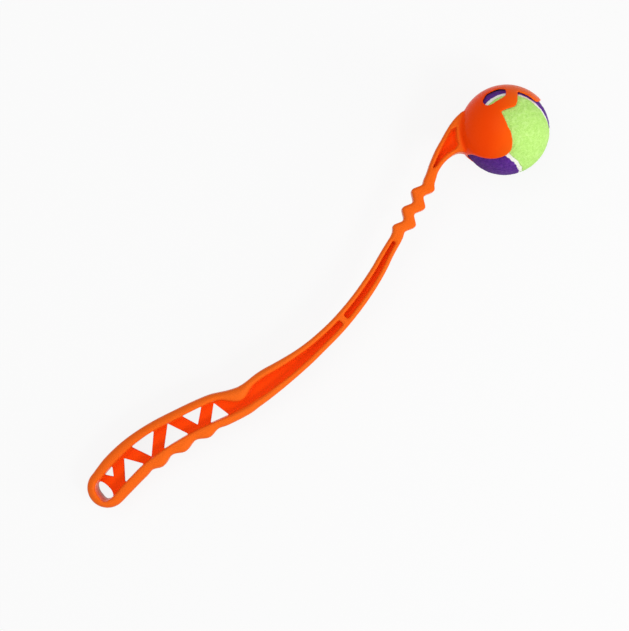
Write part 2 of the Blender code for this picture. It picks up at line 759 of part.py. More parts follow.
def make_felt(parent, lime, purple):
    """Two felt panels: a felt shell parted by the seam."""
    felt_inner = ball_radius - FELT_THICKNESS
    turn = Euler([math.radians(a) for a in SEAM_TURN_DEG], "XYZ").to_matrix().to_4x4()
    shell = put("felt_shell", sphere_mesh("felt_shell", ball_radius, felt_inner, BALL_STEPS),
                cutters, parent)
    shell.matrix_local = turn
    parting = put("seam_cutter", seam_band("seam_cutter", SEAM_WIDTH + 2 * FIT_GAP,
                                           felt_inner - OVERRUN / 2, ball_radius + OVERRUN / 2),
                  cutters, parent)
    parting.matrix_local = turn
    cut(shell, hide_cutter(parting))
    bpy.context.view_layer.update()
    seen = shell.evaluated_get(bpy.context.evaluated_depsgraph_get())
    mesh = bpy.data.meshes.new_from_object(seen)
    bodies = sorted(islands(mesh), key=lambda body: -sum(mesh.vertices[i].co.z for i in body))
    for name, body, material in (("felt_panel_purple", bodies[0], purple),
                                 ("felt_panel_lime", bodies[-1], lime)):
        panel = put(name, keep_body(mesh, body, name), parts, parent, material)
        panel.matrix_local = turn
        shade(panel)
    bpy.data.objects.remove(shell, do_unlink=True)


def make_seam(parent, material):
    felt_inner = ball_radius - FELT_THICKNESS
    seam = put("seam_cement", seam_band("seam_cement", SEAM_WIDTH, felt_inner,
                                        ball_radius - SEAM_RECESS), parts, parent, material)
    seam.rotation_euler = [math.radians(a) for a in SEAM_TURN_DEG]


def make_core(parent, material):
    """Two half shells, one on each side of the bonded joint."""
    inner = core_radius - CORE_WALL
    lift = FIT_GAP / 2
    tilt = math.degrees(math.asin(lift / core_radius))
    upper = arc(core_radius, 90.0, tilt, ARC_STEPS - 3) + arc(inner, tilt, 90.0, ARC_STEPS - 3)
    lower = [(radius, -height) for radius, height in upper[::-1]]
    for name, profile in (("ball_core_upper", upper), ("ball_core_lower", lower)):
        profile[0] = (0.0, profile[0][1])
        profile[-1] = (0.0, profile[-1][1])
        turned(name, profile, parts, parent, material, steps=BALL_STEPS)


def shade(ob):
    ob.data.shade_smooth()
    ob.data.set_sharp_from_angle(angle=math.radians(35.0))


def rest_turn():
    """The turn that lays the cup's side and the grip's edge on one level."""
    reach = -butt_centre[0] + GRIP_WIDTH / 2 - EDGE_ROUND
    slope = math.atan2(cup_radius - GRIP_DEPTH / 2, reach)
    return Matrix.Rotation(-slope, 4, "Y")


def stand_on_floor(root, nodes):
    """Moves the whole object so that its bounding box stands centred on the origin."""
    bpy.context.view_layer.update()
    depsgraph = bpy.context.evaluated_depsgraph_get()
    points = []
    for ob in nodes:
        seen = ob.evaluated_get(depsgraph)
        points += [ob.matrix_world @ vertex.co for vertex in seen.data.vertices]
    points = np.array(points)
    low, high = points.min(axis=0), points.max(axis=0)
    root.location = (-(low[0] + high[0]) / 2, -(low[1] + high[1]) / 2, -low[2])


clear_scene()
parts = new_collection("dog_ball_thrower")
cutters = new_collection("cutters")

rest = put_empty("thrower_rest", (0.0, 0.0, 0.0), parts, None)
neck_hinge = put_empty("neck_flex_axis", (*neck_middle, 0.0), parts, rest)
blade_origin = put_empty("cup_origin", (*(-neck_middle), 0.0), parts, neck_hinge)
ball_slide = put_empty("ball_centre", (0.0, 0.0, 0.0), parts, blade_origin)

make_blade(rest, finish("handle_orange", ORANGE, PLASTIC_ROUGHNESS))
make_neck(rest, finish("neck_orange", ORANGE, PLASTIC_ROUGHNESS))
make_cup(blade_origin, finish("cup_orange", ORANGE, PLASTIC_ROUGHNESS))
make_core(ball_slide, finish("core_rubber", RUBBER, RUBBER_ROUGHNESS))
make_felt(ball_slide, finish("felt_lime", LIME, FELT_ROUGHNESS),
          finish("felt_purple", PURPLE, FELT_ROUGHNESS))
make_seam(ball_slide, finish("seam_pale", SEAM_WHITE, RUBBER_ROUGHNESS))
rest.matrix_local = rest_turn()
stand_on_floor(rest, [ob for ob in parts.objects if ob.type == "MESH"])
bpy.context.view_layer.update()
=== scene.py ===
import json
import math

import bpy
import numpy as np
from mathutils import Euler, Matrix, Vector


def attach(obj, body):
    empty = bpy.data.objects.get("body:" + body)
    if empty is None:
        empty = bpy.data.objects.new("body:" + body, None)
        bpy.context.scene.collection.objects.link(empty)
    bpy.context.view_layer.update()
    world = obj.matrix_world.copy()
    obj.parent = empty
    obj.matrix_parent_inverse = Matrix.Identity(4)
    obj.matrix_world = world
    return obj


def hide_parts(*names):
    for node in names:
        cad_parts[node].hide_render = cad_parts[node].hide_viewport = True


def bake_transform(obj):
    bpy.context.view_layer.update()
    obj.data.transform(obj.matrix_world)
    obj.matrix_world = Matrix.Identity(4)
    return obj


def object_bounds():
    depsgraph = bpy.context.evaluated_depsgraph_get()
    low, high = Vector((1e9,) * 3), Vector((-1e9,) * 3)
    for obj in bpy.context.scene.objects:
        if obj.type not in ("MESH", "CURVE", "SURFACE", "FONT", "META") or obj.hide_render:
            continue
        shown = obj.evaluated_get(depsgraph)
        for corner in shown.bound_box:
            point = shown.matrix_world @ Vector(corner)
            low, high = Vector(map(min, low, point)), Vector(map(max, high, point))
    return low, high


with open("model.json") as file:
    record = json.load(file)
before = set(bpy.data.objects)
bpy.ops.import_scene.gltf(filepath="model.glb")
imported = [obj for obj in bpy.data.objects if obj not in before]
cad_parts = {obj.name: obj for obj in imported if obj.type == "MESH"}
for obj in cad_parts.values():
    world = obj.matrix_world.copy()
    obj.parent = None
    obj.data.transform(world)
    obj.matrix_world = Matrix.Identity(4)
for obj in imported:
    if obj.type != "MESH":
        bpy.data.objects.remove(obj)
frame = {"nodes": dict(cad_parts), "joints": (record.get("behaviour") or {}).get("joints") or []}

first_bounds = [list(corner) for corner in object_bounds()]

# Ball and cup, with the CAD's sizes in metres
BALL_DIAMETER = 0.0654
FELT_THICKNESS = 0.003
FIT_GAP = 0.0003
SEAM_WIDTH = 0.0022
SEAM_SWING_SHARE = 0.24
SEAM_TURN_DEG = (71.3, -49.8, -156.9)
CUP_WALL = 0.0015
LIP_WALL = 0.0011
CUP_REACH = 0.0175
MOUTH_ANGLE_DEG = -85.0
HOOD_HALF_WIDTH = 0.0226
HOOD_TIP_ROUND = 0.0075
HOOD_REACH = 0.002
WINDOW_HALF_SPACING = 0.0185
HOOD_ARC_DEG = (35.5, -5.0)
WINDOW_ARC_DEG = (63.0, 86.0)

# Neck and arm
NECK_REACH = 0.0768
NECK_DROP = 0.0048
NECK_LEAN_DEG = 20.3
NECK_WIDTH = 0.0103
NECK_WAIST = 0.0016
NECK_DEPTH = 0.0145
ZIGZAG_PITCH = 0.0151
ZIGZAG_SWING = 0.00295
ZIGZAG_TURNS = 3
ZIGZAG_CRISPNESS_SHARE = 0.96
ARM_FLANGE = 0.0034
ARM_END_WALL = 0.0032

# Handle and shaft
BLADE_LENGTH = 0.2882
BUTT_RISE = 0.0020
BOW_DEPTH = 0.0247
GRIP_WIDTH = 0.031
GRIP_DEPTH = 0.020
GRIP_RIM = 0.0070
BUTT_RIM = 0.0071
BUTT_SQUARENESS = (3.6, 2.2)
BUTT_LEAN_SHARE = 0.3
BUTT_REACH_SHARE = 0.985
SHAFT_FLANGE = 0.0044
NECK_FLANGE = 0.0032
WEB_THICKNESS = 0.003
FINGER_PITCH = 0.0211
FINGER_CREST = 0.0016
FINGER_COUNT = 3
FINGER_START = 0.0441
THUMB_PAD_RISE = 0.0049
THUMB_PAD_LENGTH = 0.030
THUMB_PAD_START = 0.1022
POCKET_BRIDGE = 0.0052
FIRST_POCKET_END_SHARE = 0.736
SECOND_POCKET_END_SHARE = 0.978
LEAD_IN_SHARE = 0.92
SPINE_STEP_SHARE = 0.007
SPINE_TURN_SHARE = 0.015
POCKET_CORNER_SHARES = (0.25, 0.3)

# What the photo shows beyond the CAD: softer edges and corners, and draft
NECK_SOFTENING = 6
SOFT_LEAD = 0.004
SOFT_BEFORE_NECK = 0.003
SOFT_AFTER_NECK = 0.006
GRIP_ROUND = 0.0052
EDGE_ROUND = 0.0029
GRIP_ROUND_FADE_SHARES = (0.42, 0.62)
RIM_INNER_ROUND = 0.0020
THUMB_ROUND = 0.0050
THUMB_ROUND_CENTRE_SHARE = 0.6
WINDOW_ROUND = 0.0005
WINDOW_GROWTH = 0.0003
LIP_ROUND = 0.0010
CREASE_ROUND = 0.0020
POCKET_FLOOR_ROUND = 0.0014
ARM_FLOOR_ROUND = 0.0032
ARM_CORNER_SHARE = 0.15
ARM_CORNER_CUT = 0.0028
POCKET_DRAFT = 0.05

# Felt, seam and fibres
FELT_NAP = 0.00035
FELT_EDGE_ROUND = 0.0016
NAP_SIZES = (0.0010, 0.0032)
NAP_WEIGHTS = (0.6, 0.5)
NAP_SEEDS = (1, 2)
JAG_SIZES = (0.0011, 0.0036)
JAG_SEEDS = (4, 7)
FUZZ_SEEDS = (11, 12)
SEAM_JAG = 0.0005
SEAM_WANDER = 0.0028
SEAM_WANDER_WIDTH = 0.44
SEAM_WANDER_TOWARD = (-0.45, -0.52, 0.726)
SEAM_SINK = 0.0007
FIBRE_LENGTH = 0.0011
FIBRE_WIDTH = 0.00007
FIBRE_COUNT = 26000
FIBRE_LENGTH_RANGE = (0.5, 1.0)
FIBRE_RISES = ((0.30, 0.1), (0.10, 0.15))
FIBRE_LEANS = (0.35, 0.5)

# Painted shade, a deeper red on the plastic: deep in a pocket, on the cup's wall, and most near the
# arm, on the cup's side away from the lamps
HOLLOW_DEPTHS = (0.0012, 0.0045)
POCKET_WALL_REACH = (-0.0012, 0.0006)
SHELL_REACH = (0.0003, 0.003)
CUP_PAINTED_SHADE_REACH = (-0.028, 0.012)
CUP_PAINTED_SHADE_LOSS = 0.8

# Points along the lines
BODY_POINTS = 289
NECK_POINTS = 145
POCKET_POINTS = 200
TRUSS_POINTS = 25
RING_POINTS = 24
HOLE_POINTS = 14
CORNER_POINTS = 12

# Grids that the surfaces are made on, and the share of faces kept afterwards
GRID = 0.0005
FELT_GRID = 0.0005
GRID_X = (-0.4200, 0.0390)
GRID_Y = (-0.0380, 0.0385)
GRID_HEIGHT = 0.0375
CUP_ZONE = 0.008
CUT_OVERRUN = 0.006
PETAL_OVERRUN = 0.003
SHELL_MARGIN_IN = 0.002
SHELL_MARGIN_OUT = 0.0015
SEAM_BATCH = 40000
SEAM_STEPS = 720
NEAR_SEAM = 0.02
GRID_END_MARGIN = 1.001
NOISE_CELLS = 32
MOULDING_FACES_SHARE = 0.28
MOULDING_SMOOTHING = 3
FELT_FACES_SHARE = 0.6
FELT_SMOOTHING = 0
SEAM_FACES_SHARE = 0.5
SEAM_SMOOTHING = 2

# Lines, widths and outlines, as shares of the sizes that they follow
SPINE_SHARES = [
    (0.0, 0.0), (0.054, -0.055), (0.109, -0.05), (0.165, 0.03), (0.22, 0.145), (0.275, 0.29),
    (0.331, 0.47), (0.387, 0.69), (0.442, 0.86), (0.498, 0.95), (0.553, 1.02), (0.608, 1.07),
    (0.664, 1.08), (0.719, 1.055), (0.775, 0.975), (0.83, 0.85), (0.886, 0.675), (0.941, 0.46),
]
UPPER_SHARES = [
    (0.0, 0.452), (0.055, 0.50), (0.14, 0.515), (0.194, 0.50), (0.25, 0.465), (0.333, 0.428),
    (0.36, 0.39), (0.388, 0.34), (0.416, 0.308), (0.444, 0.326), (0.471, 0.35), (0.499, 0.342),
    (0.527, 0.31), (0.582, 0.252), (0.638, 0.213), (0.693, 0.197), (0.776, 0.184), (0.86, 0.171),
    (0.943, 0.152), (1.0, 0.155),
]
LOWER_SHARES = [
    (0.0, 0.522), (0.055, 0.53), (0.111, 0.506), (0.166, 0.498), (0.25, 0.475), (0.305, 0.46),
    (0.36, 0.43), (0.416, 0.403), (0.444, 0.362), (0.499, 0.332), (0.555, 0.293), (0.61, 0.254),
    (0.666, 0.222), (0.749, 0.203), (0.86, 0.188), (0.943, 0.17), (1.0, 0.166),
]
UPPER_RIM_SHARES = [
    (0.0, 1.0), (0.047, 1.35), (0.115, 1.15), (0.183, 0.88), (0.26, 0.86), (0.31, 0.72),
    (0.36, 0.45), (0.5, 0.3), (0.6, 0.0),
]
LOWER_RIM_SHARES = [
    (0.0, 1.2), (0.04, 1.4), (0.08, 1.46), (0.115, 1.52), (0.15, 1.64), (0.19, 1.72),
    (0.22, 1.64), (0.256, 1.55), (0.288, 1.38), (0.32, 1.1), (0.342, 0.96), (0.37, 0.86),
    (0.4, 0.9), (0.435, 0.7), (0.468, 0.34), (0.55, 0.0),
]
TRUSS_SHARES = [
    (0.0185, 0.0435, 0.029, 0.65, "upper", 0.02),
    (0.0405, 0.1085, 0.080, 0.82, "lower", 0.035),
    (0.1135, 0.178, 0.139, 0.08, "upper", 0.02),
    (0.1795, 0.250, 0.219, 0.96, "lower", 0.015),
    (0.261, 0.3105, 0.284, 0.24, "upper", 0.015),
    (0.3175, 0.3645, 0.343, 0.865, "lower", 0.03),
]
HANGING_HOLE_SHARES = [
    (-0.045, -0.254), (-0.002, -0.14), (-0.006, 0.039), (-0.055, 0.18),
]
HOLE_REACH_SHARE = 0.95
HOLE_SPAN_DEG = (35.0, 165.0)
ARM_UPPER_SHARES = [
    (0.028, 0.07), (0.088, 0.121), (0.182, 0.189), (0.271, 0.246), (0.37, 0.298),
    (0.468, 0.35), (0.56, 0.392), (0.655, 0.418), (0.735, 0.416), (0.80, 0.30),
]
ARM_LOWER_SHARES = [
    (0.079, -0.037), (0.125, 0.008), (0.182, 0.04), (0.252, 0.068), (0.327, 0.084),
    (0.393, 0.087), (0.45, 0.076), (0.50, 0.045),
]
ARM_HEEL_SHARES = (0.62, 0.10)
ARM_POCKET_TIP_SHARES = (0.118, 0.088)
PETAL_EDGE_SHARES = [
    (-0.104, 0.023), (-0.115, -0.04), (-0.174, -0.18), (-0.254, -0.293), (-0.356, -0.382),
    (-0.459, -0.405), (-0.567, -0.379), (-0.69, -0.305), (-0.79, -0.195), (-0.872, -0.054),
    (-0.932, 0.10), (-0.985, 0.19),
]
PETAL_NOTCH_SHARES = [(0.416, 0.282), (0.302, 0.245), (0.148, 0.311), (0.014, 0.348),
                      (-0.014, 0.288), (-0.06, 0.154)]
WINDOW_INNER_SHARES = [
    (-0.059, 0.933), (-0.103, 0.839), (-0.083, 0.769), (-0.008, 0.728), (0.137, 0.704),
    (0.319, 0.668), (0.429, 0.673), (0.532, 0.755), (0.535, 0.8),
]

BUTT_TURNS = np.pi * np.arange(1, 40) / 40

ball_radius = BALL_DIAMETER / 2
felt_inner = ball_radius - FELT_THICKNESS
cavity_radius = ball_radius + FIT_GAP
cup_radius = cavity_radius + CUP_WALL
lip_radius = cavity_radius + LIP_WALL


# Lines and widths in the blade plane
def smooth_line(points, steps=8):
    points = np.array(points, float)
    ends = np.vstack([2 * points[0] - points[1], points, 2 * points[-1] - points[-2]])
    t = (np.arange(steps) / steps)[:, None]
    line = []
    for i in range(len(points) - 1):
        a, b, c, d = ends[i:i + 4]
        line.append(0.5 * (2 * b + (c - a) * t + (2 * a - 5 * b + 4 * c - d) * t ** 2
                           + (3 * b - a - 3 * c + d) * t ** 3))
    return np.vstack(line + [points[-1:]])


def follow(table, share):
    curve = smooth_line(table, 16)
    return np.interp(share, curve[:, 0], curve[:, 1])


def smooth_step(value, low, high):
    t = np.clip((value - low) / (high - low), 0.0, 1.0)
    return t * t * (3 - 2 * t)


def raised_bump(share):
    return 0.5 + 0.5 * np.cos(np.pi * np.minimum(1.0, np.abs(share)))


neck_turn = math.radians(NECK_LEAN_DEG)
neck_along = np.array([math.cos(neck_turn), math.sin(neck_turn)])
neck_across = np.array([-neck_along[1], neck_along[0]])
neck_start = np.array([-cup_radius - NECK_REACH, -NECK_DROP])
neck_length = ZIGZAG_PITCH * ZIGZAG_TURNS
neck_end = neck_start + neck_along * neck_length
neck_middle = (neck_start + neck_end) / 2
butt_centre = neck_start + np.array([-BLADE_LENGTH, NECK_DROP + BUTT_RISE])


def spine_point(share):
    share = np.asarray(share, float)
    end_share = (butt_centre[1] - neck_start[1]) / BOW_DEPTH
    drop = follow(SPINE_SHARES + [(1.0, end_share)], share)
    return np.stack([butt_centre[0] + share * BLADE_LENGTH, butt_centre[1] - drop * BOW_DEPTH], -1)


def spine_normal(share):
    step, late_start = SPINE_STEP_SHARE, 1 - SPINE_TURN_SHARE
    share = np.asarray(share, float)
    along = spine_point(np.minimum(1.0, share + step)) - spine_point(np.maximum(0.0, share - step))
    along = along / np.linalg.norm(along, axis=-1, keepdims=True)
    normal = np.stack([-along[..., 1], along[..., 0]], -1)
    late = np.clip((share - late_start) / SPINE_TURN_SHARE, 0.0, 1.0)[..., None]
    normal = normal * (1 - late) + neck_across * late
    return normal / np.linalg.norm(normal, axis=-1, keepdims=True)


def finger_crests(share):
    place = share * BLADE_LENGTH - FINGER_START
    last = FINGER_PITCH * (FINGER_COUNT - 1)
    fade = raised_bump(np.maximum(0.0, np.maximum(-place, place - last)) / FINGER_PITCH)
    return FINGER_CREST * fade * np.cos(2 * np.pi * place / FINGER_PITCH)


def thumb_pad(share):
    place = share * BLADE_LENGTH - THUMB_PAD_START - THUMB_PAD_LENGTH / 2
    return THUMB_PAD_RISE * raised_bump(place / (THUMB_PAD_LENGTH / 2))


def flange(share, rim_shares):
    shaft = SHAFT_FLANGE + (NECK_FLANGE - SHAFT_FLANGE) * np.maximum(0.0, 2 * share - 1)
    return shaft + (GRIP_RIM - shaft) * follow(rim_shares, share)


def half_width(share, table):
    wide = follow(table, share) * GRIP_WIDTH
    at_neck = NECK_WIDTH / 2 - (NECK_WAIST if table is LOWER_SHARES else 0.0)
    slide = np.maximum(0.0, (share - LEAD_IN_SHARE) / (1 - LEAD_IN_SHARE))
    return wide + (at_neck - wide) * slide


def beside(share, distance):
    return spine_point(share) + spine_normal(share) * np.asarray(distance)[..., None]


def upper_wall(share, ledge=0.0):
    share = np.asarray(share, float)
    wide = half_width(share, UPPER_SHARES) - flange(share, UPPER_RIM_SHARES) - thumb_pad(share)
    return beside(share, wide - ledge)


def lower_wall(share, ledge=0.0):
    share = np.asarray(share, float)
    wide = half_width(share, LOWER_SHARES) - flange(share, LOWER_RIM_SHARES)
    return beside(share, ledge - wide)


def butt_arc(upper, lower):
    centre = (upper + lower) / 2
    across = upper - centre
    back = np.array([-across[1], across[0]]) * BUTT_REACH_SHARE
    turns = BUTT_TURNS[:, None]
    return centre + across * np.cos(turns) + back * np.sin(turns)


def butt_wall(turns):
    upper, lower = upper_wall(0.0), lower_wall(0.0)
    centre = (upper + lower) / 2
    across = upper - centre
    back = np.array([-across[1], across[0]]) / np.linalg.norm(across)
    turns = np.asarray(turns)[:, None]
    at_upper, at_lower = BUTT_SQUARENESS
    power = 2 / (at_upper + (at_lower - at_upper) * turns / np.pi)
    reach = (GRIP_WIDTH / 2 - BUTT_RIM) * (1 - BUTT_LEAN_SHARE * np.cos(turns))
    side = np.sign(np.cos(turns)) * np.abs(np.cos(turns)) ** power
    return centre + across * side + back * reach * np.sin(turns) ** power


def hanging_hole_outline():
    web_side = butt_centre + np.array(HANGING_HOLE_SHARES) * GRIP_WIDTH
    centre = (upper_wall(0.0) + lower_wall(0.0)) / 2
    wall = butt_wall(np.radians(np.linspace(*HOLE_SPAN_DEG, HOLE_POINTS)))
    points = np.vstack([web_side, centre + (wall - centre) * HOLE_REACH_SHARE, web_side[:1]])
    return smooth_line(points, 6)[:-1]


def zigzag_side(distance, side):
    wave = np.sin(2 * np.pi * distance / ZIGZAG_PITCH)
    crisp = ZIGZAG_CRISPNESS_SHARE
    swing = ZIGZAG_SWING * np.arcsin(crisp * wave) / math.asin(crisp)
    from_end = neck_length - distance if side > 0 else distance
    waist = NECK_WAIST * np.maximum(0.0, 1 - from_end / (ZIGZAG_PITCH / 4))
    across = swing + side * (NECK_WIDTH / 2 - waist)
    return neck_start + neck_along * distance[:, None] + neck_across * across[:, None]


def arm_point(along, across):
    chord = -neck_end
    return neck_end + chord * along + np.array([-chord[1], chord[0]]) * across


def arm_edges():
    at_neck = np.array([neck_length])
    upper = [zigzag_side(at_neck, 1)[0]] + [arm_point(*p) for p in ARM_UPPER_SHARES]
    lower = [zigzag_side(at_neck, -1)[0]] + [arm_point(*p) for p in ARM_LOWER_SHARES]
    return smooth_line(upper), smooth_line(lower)


def softened(line, start, end):
    """A line whose corners between two distances along X are evened out."""
    reach = NECK_SOFTENING
    ends = np.repeat(line[:1], reach, axis=0), np.repeat(line[-1:], reach, axis=0)
    long = np.vstack([ends[0], line, ends[1]])
    even = sum(long[i:i + len(line)] for i in range(2 * reach + 1)) / (2 * reach + 1)
    x = line[:, :1]
    share = smooth_step(x, start - SOFT_LEAD, start) * (1 - smooth_step(x, end, end + SOFT_LEAD))
    return line + (even - line) * share


def moved_in(line, distance):
    along = np.gradient(line, axis=0)
    along = along / np.linalg.norm(along, axis=1)[:, None]
    return line + np.stack([-along[:, 1], along[:, 0]], axis=1) * distance


def body_outline():
    shares = np.linspace(0.0, 1.0, BODY_POINTS)
    neck = np.linspace(0.0, neck_length, NECK_POINTS)[1:-1]
    arm_upper, arm_lower = arm_edges()
    wide = half_width(shares, UPPER_SHARES)
    upper = np.vstack([beside(shares, wide), zigzag_side(neck, 1), arm_upper])
    wide = half_width(shares, LOWER_SHARES) + finger_crests(shares)
    lower = np.vstack([beside(shares, -wide), zigzag_side(neck, -1), arm_lower])
    start, end = neck_start[0] - SOFT_BEFORE_NECK, neck_end[0] + SOFT_AFTER_NECK
    upper, lower = (softened(line, start, end) for line in (upper, lower))
    heel = arm_point(*ARM_HEEL_SHARES)[None]
    return np.vstack([upper[::-1], butt_arc(upper[0], lower[0]), lower, heel])


def pocket_end(u0, u1, l1, l0):
    """The rounded end of a pocket, from its upper wall's last two points to its lower wall's."""
    middle = (u1 + l1) / 2
    back, inward = POCKET_CORNER_SHARES
    reach = np.linalg.norm(u1 - l1)
    before = u1 + (u0 - u1) / np.linalg.norm(u0 - u1) * reach * back
    after = l1 + (l0 - l1) / np.linalg.norm(l0 - l1) * reach * back
    return smooth_line([before, u1 + (middle - u1) * inward + (before - u1) * inward / 2,
                        middle, l1 + (middle - l1) * inward + (after - l1) * inward / 2, after], 6)


def pocket_outline(start, end):
    shares = np.linspace(start, end, POCKET_POINTS)
    upper, lower = upper_wall(shares), lower_wall(shares)

    def clear_of(line, at):
        trim = np.linalg.norm(upper[at] - lower[at]) * POCKET_CORNER_SHARES[0]
        corner = upper[at] if line is upper else lower[at]
        return np.linalg.norm(line - corner, axis=1) > trim

    last = pocket_end(upper[-2], upper[-1], lower[-1], lower[-2])
    keep_upper, keep_lower = clear_of(upper, -1), clear_of(lower, -1)
    if start == 0.0:
        first = butt_wall(BUTT_TURNS)
    else:
        first = pocket_end(lower[1], lower[0], upper[0], upper[1])[::-1]
        keep_upper, keep_lower = keep_upper & clear_of(upper, 0), keep_lower & clear_of(lower, 0)
    return np.vstack([upper[keep_upper][::-1], first, lower[keep_lower], last[::-1]])


def truss_outline(start, end, apex, height, side, ledge):
    wall = upper_wall if side == "upper" else lower_wall
    low, high = lower_wall(apex), upper_wall(apex)
    stand_off = ledge * np.linalg.norm(high - low)
    line = wall(np.linspace(start, end, TRUSS_POINTS), stand_off)
    return np.vstack([line, low + (high - low) * height])


def arm_pocket_outline():
    upper, lower = arm_edges()
    upper, lower = moved_in(upper, -ARM_FLANGE), moved_in(lower, ARM_FLANGE)
    stop = cup_radius + ARM_END_WALL
    tip = arm_point(*ARM_POCKET_TIP_SHARES)
    upper, lower = (line[(line[:, 0] > tip[0] + ARM_FLANGE) & (np.hypot(*line.T) > stop)]
                    for line in (upper, lower))
    turn_a, turn_b = (math.atan2(line[-1][1], line[-1][0]) for line in (upper, lower))
    trim = (turn_b - turn_a) * ARM_CORNER_SHARE
    turns = np.linspace(turn_a + trim, turn_b - trim, CORNER_POINTS)
    end = stop * np.stack([np.cos(turns), np.sin(turns)], 1)
    upper, lower = (line[np.hypot(*line.T) > stop + ARM_CORNER_CUT] for line in (upper, lower))
    return np.vstack([tip[None], upper, end, lower[::-1]])


def ring_radius(half_spacing):
    return math.sqrt(cup_radius ** 2 - half_spacing ** 2)


def ring_arc(half_spacing, span_deg):
    turns = np.radians(np.linspace(*span_deg, RING_POINTS))
    return ring_radius(half_spacing) * np.stack([np.cos(turns), np.sin(turns)], 1)


# Distance fields: negative inside a solid
FAR = 0.05
OUTLINE_MARGIN = 0.012
SHORTEST_EDGE = 1e-8


def outline_distance(outline, u, v, margin=OUTLINE_MARGIN):
    """Signed distance to a closed outline at the grid of u by v places; FAR well outside it."""
    result = np.full((len(u), len(v)), FAR)
    low, high = outline.min(0) - margin, outline.max(0) + margin
    i0, i1 = np.searchsorted(u, [low[0], high[0]])
    j0, j1 = np.searchsorted(v, [low[1], high[1]])
    if i1 <= i0 or j1 <= j0:
        return result
    px, py = np.meshgrid(u[i0:i1], v[j0:j1], indexing="ij")
    nearest = np.full(px.shape, FAR ** 2)
    inside = np.zeros(px.shape, bool)
    for (ax, ay), (bx, by) in zip(outline, np.roll(outline, -1, axis=0)):
        ex, ey = bx - ax, by - ay
        size = ex * ex + ey * ey
        if size < SHORTEST_EDGE ** 2:
            continue
        wx, wy = px - ax, py - ay
        t = np.clip((wx * ex + wy * ey) / size, 0.0, 1.0)
        nearest = np.minimum(nearest, (wx - ex * t) ** 2 + (wy - ey * t) ** 2)
        if ay != by:
            crossing = ((ay <= py) != (by <= py)) & (px < ax + (py - ay) * ex / ey)
            inside ^= crossing
    result[i0:i1, j0:j1] = np.where(inside, -1.0, 1.0) * np.sqrt(nearest)
    return result


def smooth_max(a, b, k):
    h = np.maximum(k - np.abs(a - b), 0.0) / k
    return np.maximum(a, b) + h * h * k / 4


def rounded(side, end, radius):
    """A rounded extrusion, from the distances to its sides and to its end."""
    side, end = side + radius, end + radius
    corner = np.hypot(np.maximum(side, 0.0), np.maximum(end, 0.0))
    return np.minimum(np.maximum(side, end), 0.0) + corner - radius


def lattice_noise(points, size, seed):
    """Smooth random values from -1 to 1 at points, with features of a given size."""
    table = np.random.default_rng(int(seed)).uniform(-1, 1, (NOISE_CELLS,) * 3)
    q = points / size
    base = np.floor(q).astype(int)
    f = q - base
    f = f * f * (3 - 2 * f)
    total = 0.0
    for corner in np.ndindex(2, 2, 2):
        weight = np.prod([f[..., i] if c else 1 - f[..., i] for i, c in enumerate(corner)], axis=0)
        i, j, k = ((base[..., n] + corner[n]) % NOISE_CELLS for n in range(3))
        total = total + weight * table[i, j, k]
    return total


def net_mesh(name, field, low, step, place):
    """A closed mesh on the zero level of a field on a grid, moved to its place."""
    inside = field < 0
    count = inside.astype(np.int8)
    for axis in range(3):
        size = count.shape[axis]
        count = np.take(count, range(size - 1), axis) + np.take(count, range(1, size), axis)
    active = (count > 0) & (count < 8)
    shape = np.array(active.shape)
    flat = np.flatnonzero(active)
    cells = np.stack(np.unravel_index(flat, active.shape), 1)
    total, hits = np.zeros((len(cells), 3)), np.zeros(len(cells))
    for axis in range(3):
        for side in np.ndindex(2, 2):
            offset = np.insert(side, axis, 0)
            a = field[tuple((cells + offset).T)]
            step_on = np.eye(3, dtype=int)[axis]
            b = field[tuple((cells + offset + step_on).T)]
            crossing = (a < 0) != (b < 0)
            t = np.where(crossing, a / np.where(crossing, a - b, 1.0), 0.0)
            total += (offset + step_on * t[:, None]) * crossing[:, None]
            hits += crossing
    points = np.array(low) + (cells + total / hits[:, None]) * step

    quads = []
    strides = np.array([shape[1] * shape[2], shape[2], 1])
    for axis in range(3):
        u, v = (axis + 1) % 3, (axis + 2) % 3
        size = inside.shape[axis]
        change = np.take(inside, range(size - 1), axis) != np.take(inside, range(1, size), axis)
        edges = np.stack(np.nonzero(change), 1)
        edges = edges[(edges[:, u] > 0) & (edges[:, v] > 0)
                      & (edges[:, u] < shape[u]) & (edges[:, v] < shape[v])]
        first = inside[tuple(edges.T)]
        around = [edges @ strides - a * strides[u] - b * strides[v]
                  for a, b in ((0, 0), (1, 0), (1, 1), (0, 1))]
        quad = np.stack([np.searchsorted(flat, w) for w in around], 1)
        quads.append(np.where(first[:, None], quad, quad[:, ::-1]))
    quads = np.vstack(quads)

    points = points @ np.array(place.to_3x3()).T + np.array(place.translation)
    mesh = bpy.data.meshes.new(name)
    mesh.vertices.add(len(points))
    mesh.vertices.foreach_set("co", points.astype(np.float32).ravel())
    mesh.loops.add(4 * len(quads))
    mesh.loops.foreach_set("vertex_index", quads.astype(np.int32).ravel())
    mesh.polygons.add(len(quads))
    mesh.polygons.foreach_set("loop_start", np.arange(0, 4 * len(quads), 4, dtype=np.int32))
    mesh.update(calc_edges=True)
    mesh.validate()
    mesh.shade_smooth()
    ob = bpy.data.objects.new(name, mesh)
    bpy.context.scene.collection.objects.link(ob)
    return ob


def thin_out(ob, ratio, smoothing):
    """Smooths away the grid's steps and removes faces that flat areas don't need."""
    smooth = ob.modifiers.new("even", "SMOOTH")
    smooth.factor, smooth.iterations = 0.5, smoothing
    thinning_and_painted_shade = ob.modifiers.new("thinning_and_painted_shade", "DECIMATE")
    thinning_and_painted_shade.ratio = ratio
    bpy.context.view_layer.update()
    seen = ob.evaluated_get(bpy.context.evaluated_depsgraph_get())
    mesh = bpy.data.meshes.new_from_object(seen)
    ob.modifiers.clear()
    old = ob.data
    ob.data = mesh
    bpy.data.meshes.remove(old)
    mesh.name = ob.name
    mesh.shade_smooth()


